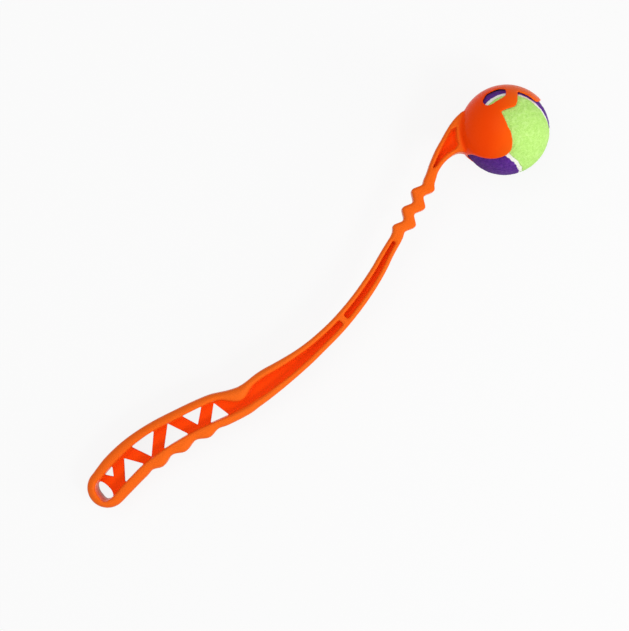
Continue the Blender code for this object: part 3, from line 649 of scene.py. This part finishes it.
# The blade frame's place: its plane turns about the neck's axis
neck_joint = [j for j in frame["joints"] if j["name"] == "neck_flex"][0]
blade_z = Vector(neck_joint["axis"]).normalized()
blade_y = Vector((0.0, 1.0, 0.0))
blade_x = blade_y.cross(blade_z).normalized()
blade_place = Matrix((blade_x, blade_y, blade_z)).transposed().to_4x4()
neck_offset = blade_place.to_3x3() @ Vector((*neck_middle, 0.0))
blade_place.translation = Vector(neck_joint["pos_m"]) - neck_offset


def blade_field(x, z, outer, pockets, windows, floor=POCKET_FLOOR_ROUND):
    """The handle, shaft, neck and arm before the cup joins them."""
    share = np.clip((x - butt_centre[0]) / BLADE_LENGTH, 0.0, 1.0)[:, None, None]
    half = (GRIP_DEPTH + (NECK_DEPTH - GRIP_DEPTH) * share) / 2
    height = z[None, None, :]
    edge = EDGE_ROUND + (GRIP_ROUND - EDGE_ROUND) * (1 - smooth_step(share, *GRIP_ROUND_FADE_SHARES))
    body = rounded(outer[:, :, None], height - half, edge)
    draft = POCKET_DRAFT * (height - half / 2)
    along_pad = (share * BLADE_LENGTH - THUMB_PAD_START) / THUMB_PAD_LENGTH
    at_thumb = raised_bump(along_pad - THUMB_ROUND_CENTRE_SHARE)
    inner = RIM_INNER_ROUND + (THUMB_ROUND - RIM_INNER_ROUND) * at_thumb
    for pocket in pockets:
        hollow = rounded(pocket[:, :, None] - draft, WEB_THICKNESS / 2 - height, floor)
        body = smooth_max(body, -hollow, inner)
    for window in windows:
        body = smooth_max(body, WINDOW_GROWTH - window[:, :, None], WINDOW_ROUND)
    return body


def thrower_field(x, y, z):
    """The whole moulding's field on a grid; the cup only fills the part near the ball."""
    bridge_share = POCKET_BRIDGE / BLADE_LENGTH
    outer = outline_distance(body_outline(), x, y, FAR)
    pockets = [outline_distance(pocket_outline(0.0, FIRST_POCKET_END_SHARE), x, y),
               outline_distance(pocket_outline(FIRST_POCKET_END_SHARE + bridge_share,
                                               SECOND_POCKET_END_SHARE), x, y),
               outline_distance(arm_pocket_outline(), x, y)]
    windows = [outline_distance(hanging_hole_outline(), x, y)]
    windows += [outline_distance(truss_outline(*shape), x, y) for shape in TRUSS_SHARES]

    field = np.full((len(x), len(y), len(z)), FAR, np.float32)
    low = int(np.searchsorted(z, GRIP_DEPTH / 2 + 4 * GRID))
    split = int(np.searchsorted(x, -cup_radius - CUP_ZONE))
    field[:split, :, :low] = blade_field(
        x[:split], z[:low], outer[:split],
        [p[:split] for p in pockets], [w[:split] for w in windows])

    # The arm and the cup
    near = x[split:]
    arm = blade_field(near, z, outer[split:], [pockets[2][split:]], [], ARM_FLOOR_ROUND)
    px, py, pz = np.meshgrid(near, y, z, indexing="ij")
    mouth = math.radians(MOUTH_ANGLE_DEG)
    height = -(px * math.cos(mouth) + py * math.sin(mouth))
    reach = np.sqrt(px ** 2 + py ** 2 + pz ** 2)
    radius = np.sqrt(np.maximum(reach ** 2 - height ** 2, 0.0))
    skirt = np.maximum(np.maximum(radius - lip_radius, -CUP_REACH - height), height)
    dome = np.minimum(reach - cup_radius, skirt)
    pocket = rounded(pockets[2][split:, :, None] - POCKET_DRAFT * (pz - NECK_DEPTH / 4),
                     WEB_THICKNESS / 2 - pz, ARM_FLOOR_ROUND)
    cup = -smooth_max(-arm, -dome, CREASE_ROUND)
    cup = smooth_max(cup, -pocket, RIM_INNER_ROUND / 2)
    cavity = np.where(height >= 0, reach, radius) - cavity_radius
    cup = smooth_max(cup, -cavity, LIP_ROUND / 2)

    far = cup_radius + CUT_OVERRUN
    petal = smooth_line(np.array(PETAL_EDGE_SHARES) * cup_radius)
    corner = petal[0]
    hood_end = corner[1] - HOOD_REACH
    opening = np.vstack([[(far, hood_end)], petal,
                         [(-far, petal[-1][1] + PETAL_OVERRUN), (-far, -far), (far, -far)]])
    notch = smooth_line(np.vstack([np.array(PETAL_NOTCH_SHARES) * cup_radius, corner[None]]))
    hood = ring_arc(HOOD_HALF_WIDTH, HOOD_ARC_DEG)
    side = np.vstack([hood, [[corner[0], hood[-1][1]]], notch[::-1]])
    window = np.vstack([ring_arc(WINDOW_HALF_SPACING, WINDOW_ARC_DEG)[::4],
                        np.array(WINDOW_INNER_SHARES) * ring_radius(WINDOW_HALF_SPACING)])
    window = smooth_line(np.vstack([window, window[:1]]))[:-1]
    turns = np.radians(np.linspace(0.0, -90.0, CORNER_POINTS))
    tip_y, tip_z = hood_end + HOOD_TIP_ROUND, HOOD_HALF_WIDTH - HOOD_TIP_ROUND
    round_side = np.stack([tip_z + HOOD_TIP_ROUND * np.cos(turns),
                           tip_y + HOOD_TIP_ROUND * np.sin(turns)], 1)
    tip = np.vstack([[(far, tip_y)], round_side, round_side[::-1] * (-1, 1),
                     [(-far, tip_y), (-far, hood_end - CUT_OVERRUN), (far, hood_end - CUT_OVERRUN)]])
    opening, side, window = (outline_distance(line, near, y, FAR)[:, :, None]
                             for line in (opening, side, window))
    cuts = [opening,
            np.maximum(side, HOOD_HALF_WIDTH / 2 - pz),
            np.maximum(outline_distance(tip, z, y, FAR).T[None, :, :], cup_radius / 3 - px),
            np.maximum(window, WINDOW_HALF_SPACING / 2 - pz)]
    for cut in cuts:
        cup = smooth_max(cup, -cut, LIP_ROUND)
    field[split:] = cup
    return field, pockets


def mark_painted_light(ob, x, y, pockets):
    """Two values at each point: painted shade, a deeper red most of all deep in a pocket and less on
    the cup's wall, least on its side towards the lamps; and 1 where the plastic is the cup's slender
    shell, whose own orange is painted light."""
    co = np.zeros(3 * len(ob.data.vertices))
    ob.data.vertices.foreach_get("co", co)
    place = np.array(blade_place.to_3x3())
    points = (co.reshape(-1, 3) - np.array(blade_place.translation)) @ place
    i = np.clip((points[:, 0] - x[0]) / GRID, 0, len(x) - GRID_END_MARGIN)
    j = np.clip((points[:, 1] - y[0]) / GRID, 0, len(y) - GRID_END_MARGIN)
    i0, j0 = i.astype(int), j.astype(int)
    u, v = i - i0, j - j0
    away = np.min(pockets, axis=0)
    away = ((away[i0, j0] * (1 - u) + away[i0 + 1, j0] * u) * (1 - v)
            + (away[i0, j0 + 1] * (1 - u) + away[i0 + 1, j0 + 1] * u) * v)
    share = np.clip((points[:, 0] - butt_centre[0]) / BLADE_LENGTH, 0.0, 1.0)
    half = (GRIP_DEPTH + (NECK_DEPTH - GRIP_DEPTH) * share) / 2
    deep = smooth_step(half - np.abs(points[:, 2]), *HOLLOW_DEPTHS)
    hollow = deep * (1 - smooth_step(away, *POCKET_WALL_REACH))
    wall = 1 - smooth_step(np.linalg.norm(points, axis=1),
                           cup_radius + SHELL_REACH[0], cup_radius + SHELL_REACH[1])
    side = smooth_step(points[:, 0] - points[:, 1], *CUP_PAINTED_SHADE_REACH)
    # Painted shade: deepest in the pockets and over the cup's wall, lessened on the cup's side that
    # faces the lamps
    thinning_and_painted_shade = np.maximum(hollow, wall * (1 - CUP_PAINTED_SHADE_LOSS * side))
    for name, values in (("thinning_and_painted_shade", thinning_and_painted_shade), ("shell", wall)):
        layer = ob.data.attributes.new(name, "FLOAT", "POINT")
        layer.data.foreach_set("value", values.astype(np.float32))


def make_thrower():
    x = np.arange(*GRID_X, GRID)
    y = np.arange(*GRID_Y, GRID)
    z = (np.arange(int(GRID_HEIGHT / GRID)) + 0.5) * GRID
    half, pockets = thrower_field(x, y, z)
    field = np.concatenate([half[:, :, ::-1], half], axis=2)
    ob = net_mesh("thrower_moulding", field, (x[0], y[0], -z[-1]), GRID, blade_place)
    thin_out(ob, MOULDING_FACES_SHARE, MOULDING_SMOOTHING)
    mark_painted_light(ob, x, y, pockets)
    return ob


# The ball
seam_turn = Euler([math.radians(a) for a in SEAM_TURN_DEG], "XYZ").to_matrix()
ball_place = blade_place @ seam_turn.to_4x4()
seam_wander_at = seam_turn.inverted() @ Vector(SEAM_WANDER_TOWARD).normalized()


def seam_curve(turn):
    b = SEAM_SWING_SHARE
    a = 1 - b
    line = np.stack([a * np.cos(turn) + b * np.cos(3 * turn),
                     a * np.sin(turn) - b * np.sin(3 * turn),
                     2 * math.sqrt(a * b) * np.sin(2 * turn)], 1)
    return line / np.linalg.norm(line, axis=1)[:, None]


def seam_distance(directions):
    """Signed distance along the ball to the seam: positive on the side of the purple panel."""
    turns = np.linspace(0.0, 2 * np.pi, SEAM_STEPS, endpoint=False)
    line = seam_curve(turns)
    along = np.roll(line, -1, axis=0) - np.roll(line, 1, axis=0)
    across = np.cross(line, along / np.linalg.norm(along, axis=1)[:, None])
    result = np.empty(len(directions))
    for start in range(0, len(directions), SEAM_BATCH):
        part = directions[start:start + SEAM_BATCH]
        near = np.argmax(part @ line.T, axis=1)
        side = np.einsum("ij,ij->i", part, across[near])
        away = np.arccos(np.clip(np.einsum("ij,ij->i", part, line[near]), -1.0, 1.0))
        result[start:start + SEAM_BATCH] = np.where(away < NEAR_SEAM, side, np.sign(side) * away)
    turn = np.arccos(np.clip(directions @ np.array(seam_wander_at), -1.0, 1.0))
    return result * ball_radius + SEAM_WANDER * np.exp(-(turn / SEAM_WANDER_WIDTH) ** 2)


def ball_grid():
    line = np.arange(-ball_radius - SHELL_MARGIN_OUT, ball_radius + SHELL_MARGIN_OUT, FELT_GRID)
    points = np.stack(np.meshgrid(line, line, line, indexing="ij"), -1)
    reach = np.linalg.norm(points, axis=-1)
    shell = (reach > felt_inner - SHELL_MARGIN_IN) & (reach < ball_radius + SHELL_MARGIN_OUT)
    return line, points[shell], reach[shell], shell


def make_ball():
    line, points, reach, shell = ball_grid()
    away = seam_distance(points / reach[:, None])

    def shell_mesh(name, solid, kept_share, smoothing):
        field = np.full(shell.shape, FAR, np.float32)
        field[shell] = solid
        ob = net_mesh(name, field, (line[0],) * 3, FELT_GRID, ball_place)
        thin_out(ob, kept_share, smoothing)
        return ob

    nap = FELT_NAP * sum(weight * lattice_noise(points, size, seed)
                         for weight, size, seed in zip(NAP_WEIGHTS, NAP_SIZES, NAP_SEEDS))
    made = {}
    for name, sign in (("felt_lime_cover", -1.0), ("felt_purple_cover", 1.0)):
        jag = SEAM_JAG * sum(lattice_noise(points, size, seed + sign)
                             for size, seed in zip(JAG_SIZES, JAG_SEEDS))
        edge = SEAM_WIDTH / 2 - sign * away - jag
        outside = reach - (ball_radius - FELT_NAP / 2) - nap
        solid = np.maximum(smooth_max(outside, edge, FELT_EDGE_ROUND), felt_inner - reach)
        made[name] = shell_mesh(name, solid, FELT_FACES_SHARE, FELT_SMOOTHING)
    band = np.abs(away) - SEAM_WIDTH
    solid = np.maximum(np.maximum(reach - (ball_radius - SEAM_SINK) - nap / 2, band),
                       felt_inner + FELT_THICKNESS / 3 - reach)
    made["seam_line"] = shell_mesh("seam_line", solid, SEAM_FACES_SHARE, SEAM_SMOOTHING)
    return made


def make_fuzz(name, sign, seed):
    """Short fibres that stand and lean out of a felt panel."""
    rng = np.random.default_rng(seed)
    roots = rng.normal(size=(FIBRE_COUNT, 3))
    roots /= np.linalg.norm(roots, axis=1)[:, None]
    away = seam_distance(roots) * sign
    roots = roots[away > SEAM_WIDTH / 2 + SEAM_JAG]
    lean = np.cross(roots, rng.normal(size=roots.shape))
    lean /= np.linalg.norm(lean, axis=1)[:, None]
    side = np.cross(roots, lean)
    size = FIBRE_LENGTH * rng.uniform(*FIBRE_LENGTH_RANGE, (len(roots), 1))
    lift = rng.uniform(0.0, 1.0, (len(roots), 1))
    base = roots * (ball_radius - FELT_NAP)
    (low_rise, low_more), (high_rise, high_more) = FIBRE_RISES
    middle = base + roots * size * (low_rise + low_more * lift) + lean * size * FIBRE_LEANS[0]
    end = middle + roots * size * (high_rise + high_more * lift) + lean * size * FIBRE_LEANS[1]
    wide = side * FIBRE_WIDTH / 2
    points = np.stack([base - wide, base + wide, middle + wide, middle - wide, end], 1)
    points = points.reshape(-1, 3) @ np.array(ball_place.to_3x3()).T
    points += np.array(ball_place.translation)
    first = 5 * np.arange(len(roots))[:, None]
    faces = [tuple(f) for f in first + [0, 1, 2, 3]] + [tuple(f) for f in first + [3, 2, 4]]
    mesh = bpy.data.meshes.new(name)
    mesh.from_pydata([tuple(p) for p in points], [], faces)
    mesh.shade_smooth()
    ob = bpy.data.objects.new(name, mesh)
    bpy.context.scene.collection.objects.link(ob)
    return ob


# Materials
def srgb(r, g, b):
    values = [c / 255 for c in (r, g, b)]
    return [c / 12.92 if c <= 0.04045 else ((c + 0.055) / 1.055) ** 2.4 for c in values] + [1.0]


class Look:
    """A procedural material; each call adds one node and links it."""

    def __init__(self, name):
        self.material = bpy.data.materials.new(name)
        self.material.use_nodes = True
        self.tree = self.material.node_tree
        self.shader = self.tree.nodes["Principled BSDF"]
        self.place = self.tree.nodes.new("ShaderNodeTexCoord").outputs["Object"]

    def node(self, kind, inputs=(), **settings):
        node = self.tree.nodes.new(kind)
        for key, value in settings.items():
            setattr(node, key, value)
        for key, value in dict(inputs).items():
            if isinstance(value, bpy.types.NodeSocket):
                self.tree.links.new(value, node.inputs[key])
            else:
                node.inputs[key].default_value = value
        return node

    def noise(self, scale, detail, rough=0.5):
        inputs = {"Vector": self.place, "Scale": scale, "Detail": detail, "Roughness": rough}
        return self.node("ShaderNodeTexNoise", inputs).outputs["Fac"]

    def math(self, operation, a, b):
        return self.node("ShaderNodeMath", {0: a, 1: b}, operation=operation).outputs[0]

    def attribute(self, name):
        return self.node("ShaderNodeAttribute", attribute_name=name).outputs["Fac"]

    def ramp(self, factor, low, high, first=0.3, second=0.7):
        inputs = {"Value": factor, "From Min": first, "From Max": second,
                  "To Min": low, "To Max": high}
        return self.node("ShaderNodeMapRange", inputs).outputs["Result"]

    def mix(self, factor, a, b):
        node = self.node("ShaderNodeMix", data_type="RGBA")
        for index, value in ((0, factor), (6, a), (7, b)):
            if isinstance(value, bpy.types.NodeSocket):
                self.tree.links.new(value, node.inputs[index])
            else:
                node.inputs[index].default_value = value
        return node.outputs[2]

    def bump(self, height, distance, strength, before=None):
        inputs = {"Height": height, "Distance": distance, "Strength": strength}
        if before is not None:
            inputs["Normal"] = before
        return self.node("ShaderNodeBump", inputs).outputs["Normal"]

    def set(self, **inputs):
        for key, value in inputs.items():
            socket = self.shader.inputs[key.replace("_", " ")]
            if isinstance(value, bpy.types.NodeSocket):
                self.tree.links.new(value, socket)
            else:
                socket.default_value = value
        return self.material


def orange_plastic():
    look = Look("orange_plastic")
    drift = look.ramp(look.noise(14.0, 3.0), 0.0, 1.0)
    colour = look.mix(drift, srgb(241, 105, 28), srgb(238, 99, 23))
    # Painted light: the cup's shell gets its own redder, more saturated orange, for light that passes
    # through its slender wall
    colour = look.mix(look.attribute("shell"), colour, srgb(248, 103, 18))
    # Painted shade: a deeper red mixed in deep in the pockets and over the cup's wall, most on its
    # side away from the lamps
    colour = look.mix(look.attribute("thinning_and_painted_shade"), colour, srgb(248, 71, 7))
    grain = look.noise(2600.0, 3.0, 0.6)
    waves = look.noise(90.0, 2.0)
    normal = look.bump(waves, 0.0004, 0.12)
    normal = look.bump(grain, 0.00005, 0.2, normal)
    rough = look.ramp(look.noise(400.0, 2.0), 0.26, 0.31)
    return look.set(Base_Color=colour, Roughness=rough, Normal=normal,
                    Specular_IOR_Level=0.05, Specular_Tint=srgb(255, 205, 150))


def felt(name, light, dark, tips):
    look = Look(name)
    fibres = look.noise(1500.0, 4.0, 0.7)
    tufts = look.noise(420.0, 3.0, 0.6)
    patches = look.noise(70.0, 2.0)
    colour = look.mix(look.ramp(fibres, 0.0, 1.0), dark, light)
    tipped = look.math("MULTIPLY", look.ramp(tufts, 0.0, 1.0, 0.45, 0.75), 0.5)
    worn = look.math("MULTIPLY", look.ramp(patches, 0.0, 1.0), 0.15)
    colour = look.mix(worn, look.mix(tipped, colour, tips), dark)
    normal = look.bump(tufts, 0.0006, 0.5)
    normal = look.bump(fibres, 0.00025, 0.7, normal)
    return look.set(Base_Color=colour, Roughness=0.95, Normal=normal, Specular_IOR_Level=0.05,
                    Sheen_Weight=0.08, Sheen_Roughness=0.5)


def pale_rubber():
    look = Look("seam_cement_pale")
    stain = look.noise(900.0, 4.0, 0.65)
    colour = look.mix(look.ramp(stain, 0.0, 1.0), srgb(226, 224, 212), srgb(250, 249, 243))
    return look.set(Base_Color=colour, Roughness=0.8, Normal=look.bump(stain, 0.0003, 0.5),
                    Specular_IOR_Level=0.2)


def core_rubber():
    look = Look("core_rubber_dark")
    mottle = look.noise(300.0, 5.0, 0.7)
    colour = look.mix(look.ramp(mottle, 0.0, 1.0), srgb(52, 51, 54), srgb(84, 82, 84))
    return look.set(Base_Color=colour, Roughness=look.ramp(mottle, 0.6, 0.8),
                    Normal=look.bump(mottle, 0.0003, 0.6))


def paint(ob, material):
    ob.data.materials.clear()
    ob.data.materials.append(material)


# Pieces
thrower = make_thrower()
paint(thrower, orange_plastic())
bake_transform(thrower)
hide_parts("handle_and_shaft", "zigzag_neck", "ball_cup")

lime = felt("lime_felt", srgb(205, 246, 140), srgb(150, 205, 84), srgb(222, 252, 170))
purple = felt("purple_felt", srgb(101, 46, 152), srgb(64, 24, 112), srgb(130, 70, 175))
ball = make_ball()
fuzz_lime = make_fuzz("felt_lime_fuzz", -1.0, FUZZ_SEEDS[0])
fuzz_purple = make_fuzz("felt_purple_fuzz", 1.0, FUZZ_SEEDS[1])
for ob, material, node, slot in (
        (ball["felt_lime_cover"], lime, "felt_panel_lime", "felt_lime"),
        (ball["felt_purple_cover"], purple, "felt_panel_purple", "felt_purple"),
        (ball["seam_line"], pale_rubber(), "seam_cement", "seam_pale"),
        (fuzz_lime, lime, "felt_panel_lime", "felt_lime"),
        (fuzz_purple, purple, "felt_panel_purple", "felt_purple")):
    paint(ob, material)
    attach(ob, "ball")
    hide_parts(node)
core_look = core_rubber()
for node in ("ball_core_upper", "ball_core_lower"):
    paint(frame["nodes"][node], core_look)


# Floor, light and camera: the photo's middle and the ball's centre are in its pixels
PIXEL = 0.00075
PHOTO_WIDTH = 629
PHOTO_MIDDLE = (314.5, 315.5)
BALL_IN_PHOTO = (505.2, 131.3)
SENSOR_WIDTH = 36.0
CAMERA_HEIGHT = 0.876
TURN_DEG = 42.0
LAMPS = [
    # Name, places to the right, up and towards the camera, size and power
    ("key_lower_right", 0.75, -0.55, 1.0, 0.36, 5.0),
    ("edge_right", 1.05, -0.25, 0.32, 0.45, 4.2),
    ("fill_overhead", -0.55, 0.4, 1.6, 1.4, 9.4),
]
ROOM_TOWARD = (0.8, -0.6)
ROOM_LEVELS = (0.48, 0.62)
FLOOR_WHITE = 0.957
FLOOR_SHADE = 0.08
FLOOR_REACH = 6.0
FLOOR_GAP = 0.0004
turn = math.radians(TURN_DEG)
right = Vector((math.cos(turn), -math.sin(turn), 0.0))
up = Vector((math.sin(turn), math.cos(turn), 0.0))
back = Vector((0.0, 0.0, 1.0))
middle = (right * (PHOTO_MIDDLE[0] - BALL_IN_PHOTO[0]) * PIXEL
          - up * (PHOTO_MIDDLE[1] - BALL_IN_PHOTO[1]) * PIXEL)


def facing(place, target, roll_axis):
    """A matrix at a place that looks along -Z at a target."""
    z = (place - target).normalized()
    x = roll_axis.cross(z).normalized()
    matrix = Matrix((x, z.cross(x), z)).transposed().to_4x4()
    matrix.translation = place
    return matrix


for name, across, along, above, size, power in LAMPS:
    data = bpy.data.lights.new(name, "AREA")
    data.shape, data.size, data.energy = "DISK", size, power
    ob = bpy.data.objects.new(name, data)
    place = middle + right * across + up * along + back * above
    ob.matrix_world = blade_place @ facing(place, middle, up)
    bpy.context.scene.collection.objects.link(ob)

world = bpy.data.worlds.new("studio")
bpy.context.scene.world = world
world.use_nodes = True
sky = world.node_tree
# The room is brighter on the key light's side; straight views and reflections see the floor's white
ray = sky.nodes.new("ShaderNodeLightPath")
seen = sky.nodes.new("ShaderNodeMath")
seen.operation = "ADD"
seen.use_clamp = True
sky.links.new(ray.outputs["Is Camera Ray"], seen.inputs[0])
mirrored = sky.nodes.new("ShaderNodeMath")
mirrored.operation = "MAXIMUM"
sky.links.new(ray.outputs["Is Glossy Ray"], mirrored.inputs[0])
sky.links.new(ray.outputs["Is Transmission Ray"], mirrored.inputs[1])
sky.links.new(mirrored.outputs[0], seen.inputs[1])
toward = sky.nodes.new("ShaderNodeVectorMath")
toward.operation = "DOT_PRODUCT"
toward.inputs[1].default_value = blade_place.to_3x3() @ (right * ROOM_TOWARD[0] + up * ROOM_TOWARD[1])
sky.links.new(sky.nodes.new("ShaderNodeTexCoord").outputs["Generated"], toward.inputs[0])
level = sky.nodes.new("ShaderNodeMapRange")
level.inputs["From Min"].default_value = -1.0
level.inputs["To Min"].default_value, level.inputs["To Max"].default_value = ROOM_LEVELS
sky.links.new(toward.outputs["Value"], level.inputs["Value"])
strength = sky.nodes.new("ShaderNodeMix")
sky.links.new(seen.outputs[0], strength.inputs[0])
sky.links.new(level.outputs["Result"], strength.inputs[2])
strength.inputs[3].default_value = FLOOR_WHITE
sky.links.new(strength.outputs[0], sky.nodes["Background"].inputs["Strength"])
sky.nodes["Background"].inputs["Color"].default_value = (1.0, 1.0, 1.0, 1.0)

floor_mesh = bpy.data.meshes.new("studio_floor")
corners = [(x * FLOOR_REACH, y * FLOOR_REACH, 0.0) for x, y in ((-1, -1), (1, -1), (1, 1), (-1, 1))]
floor_mesh.from_pydata(corners, [], [(0, 1, 2, 3)])
floor = bpy.data.objects.new("studio_floor", floor_mesh)
floor.location.z = first_bounds[0][2] - FLOOR_GAP
bpy.context.scene.collection.objects.link(floor)
floor_look = Look("floor_paper")
tone = floor_look.ramp(floor_look.noise(3.0, 2.0), 0.0, 1.0)
floor_look.set(Base_Color=floor_look.mix(tone, [0.50, 0.50, 0.50, 1.0], [0.51, 0.51, 0.51, 1.0]),
               Roughness=1.0, Specular_IOR_Level=0.0)
paper = floor_look.node("ShaderNodeBsdfDiffuse", {"Color": [FLOOR_SHADE] * 3 + [1.0]})
glow = floor_look.node("ShaderNodeEmission", {"Color": [1.0] * 4,
                                              "Strength": FLOOR_WHITE - FLOOR_SHADE})
both = floor_look.node("ShaderNodeAddShader", {0: paper.outputs[0], 1: glow.outputs[0]})
path = floor_look.node("ShaderNodeLightPath")
direct = floor_look.math("MAXIMUM", path.outputs["Is Camera Ray"],
                         floor_look.math("MAXIMUM", path.outputs["Is Glossy Ray"],
                                         path.outputs["Is Transmission Ray"]))
shown = floor_look.node("ShaderNodeMixShader", {0: direct, 1: floor_look.shader.outputs[0],
                                                2: both.outputs[0]})
floor_look.tree.links.new(shown.outputs[0],
                          floor_look.tree.nodes["Material Output"].inputs["Surface"])
paint(floor, floor_look.material)

camera_data = bpy.data.cameras.new("photo_camera")
camera_data.sensor_fit = "HORIZONTAL"
camera_data.sensor_width = SENSOR_WIDTH
camera_data.lens = SENSOR_WIDTH * CAMERA_HEIGHT / (PHOTO_WIDTH * PIXEL)
camera = bpy.data.objects.new("photo_camera", camera_data)
camera.matrix_world = blade_place @ facing(middle + back * CAMERA_HEIGHT, middle, up)
bpy.context.scene.collection.objects.link(camera)
bpy.context.scene.camera = camera
bpy.context.scene.view_settings.view_transform = "Standard"

bpy.context.view_layer.update()
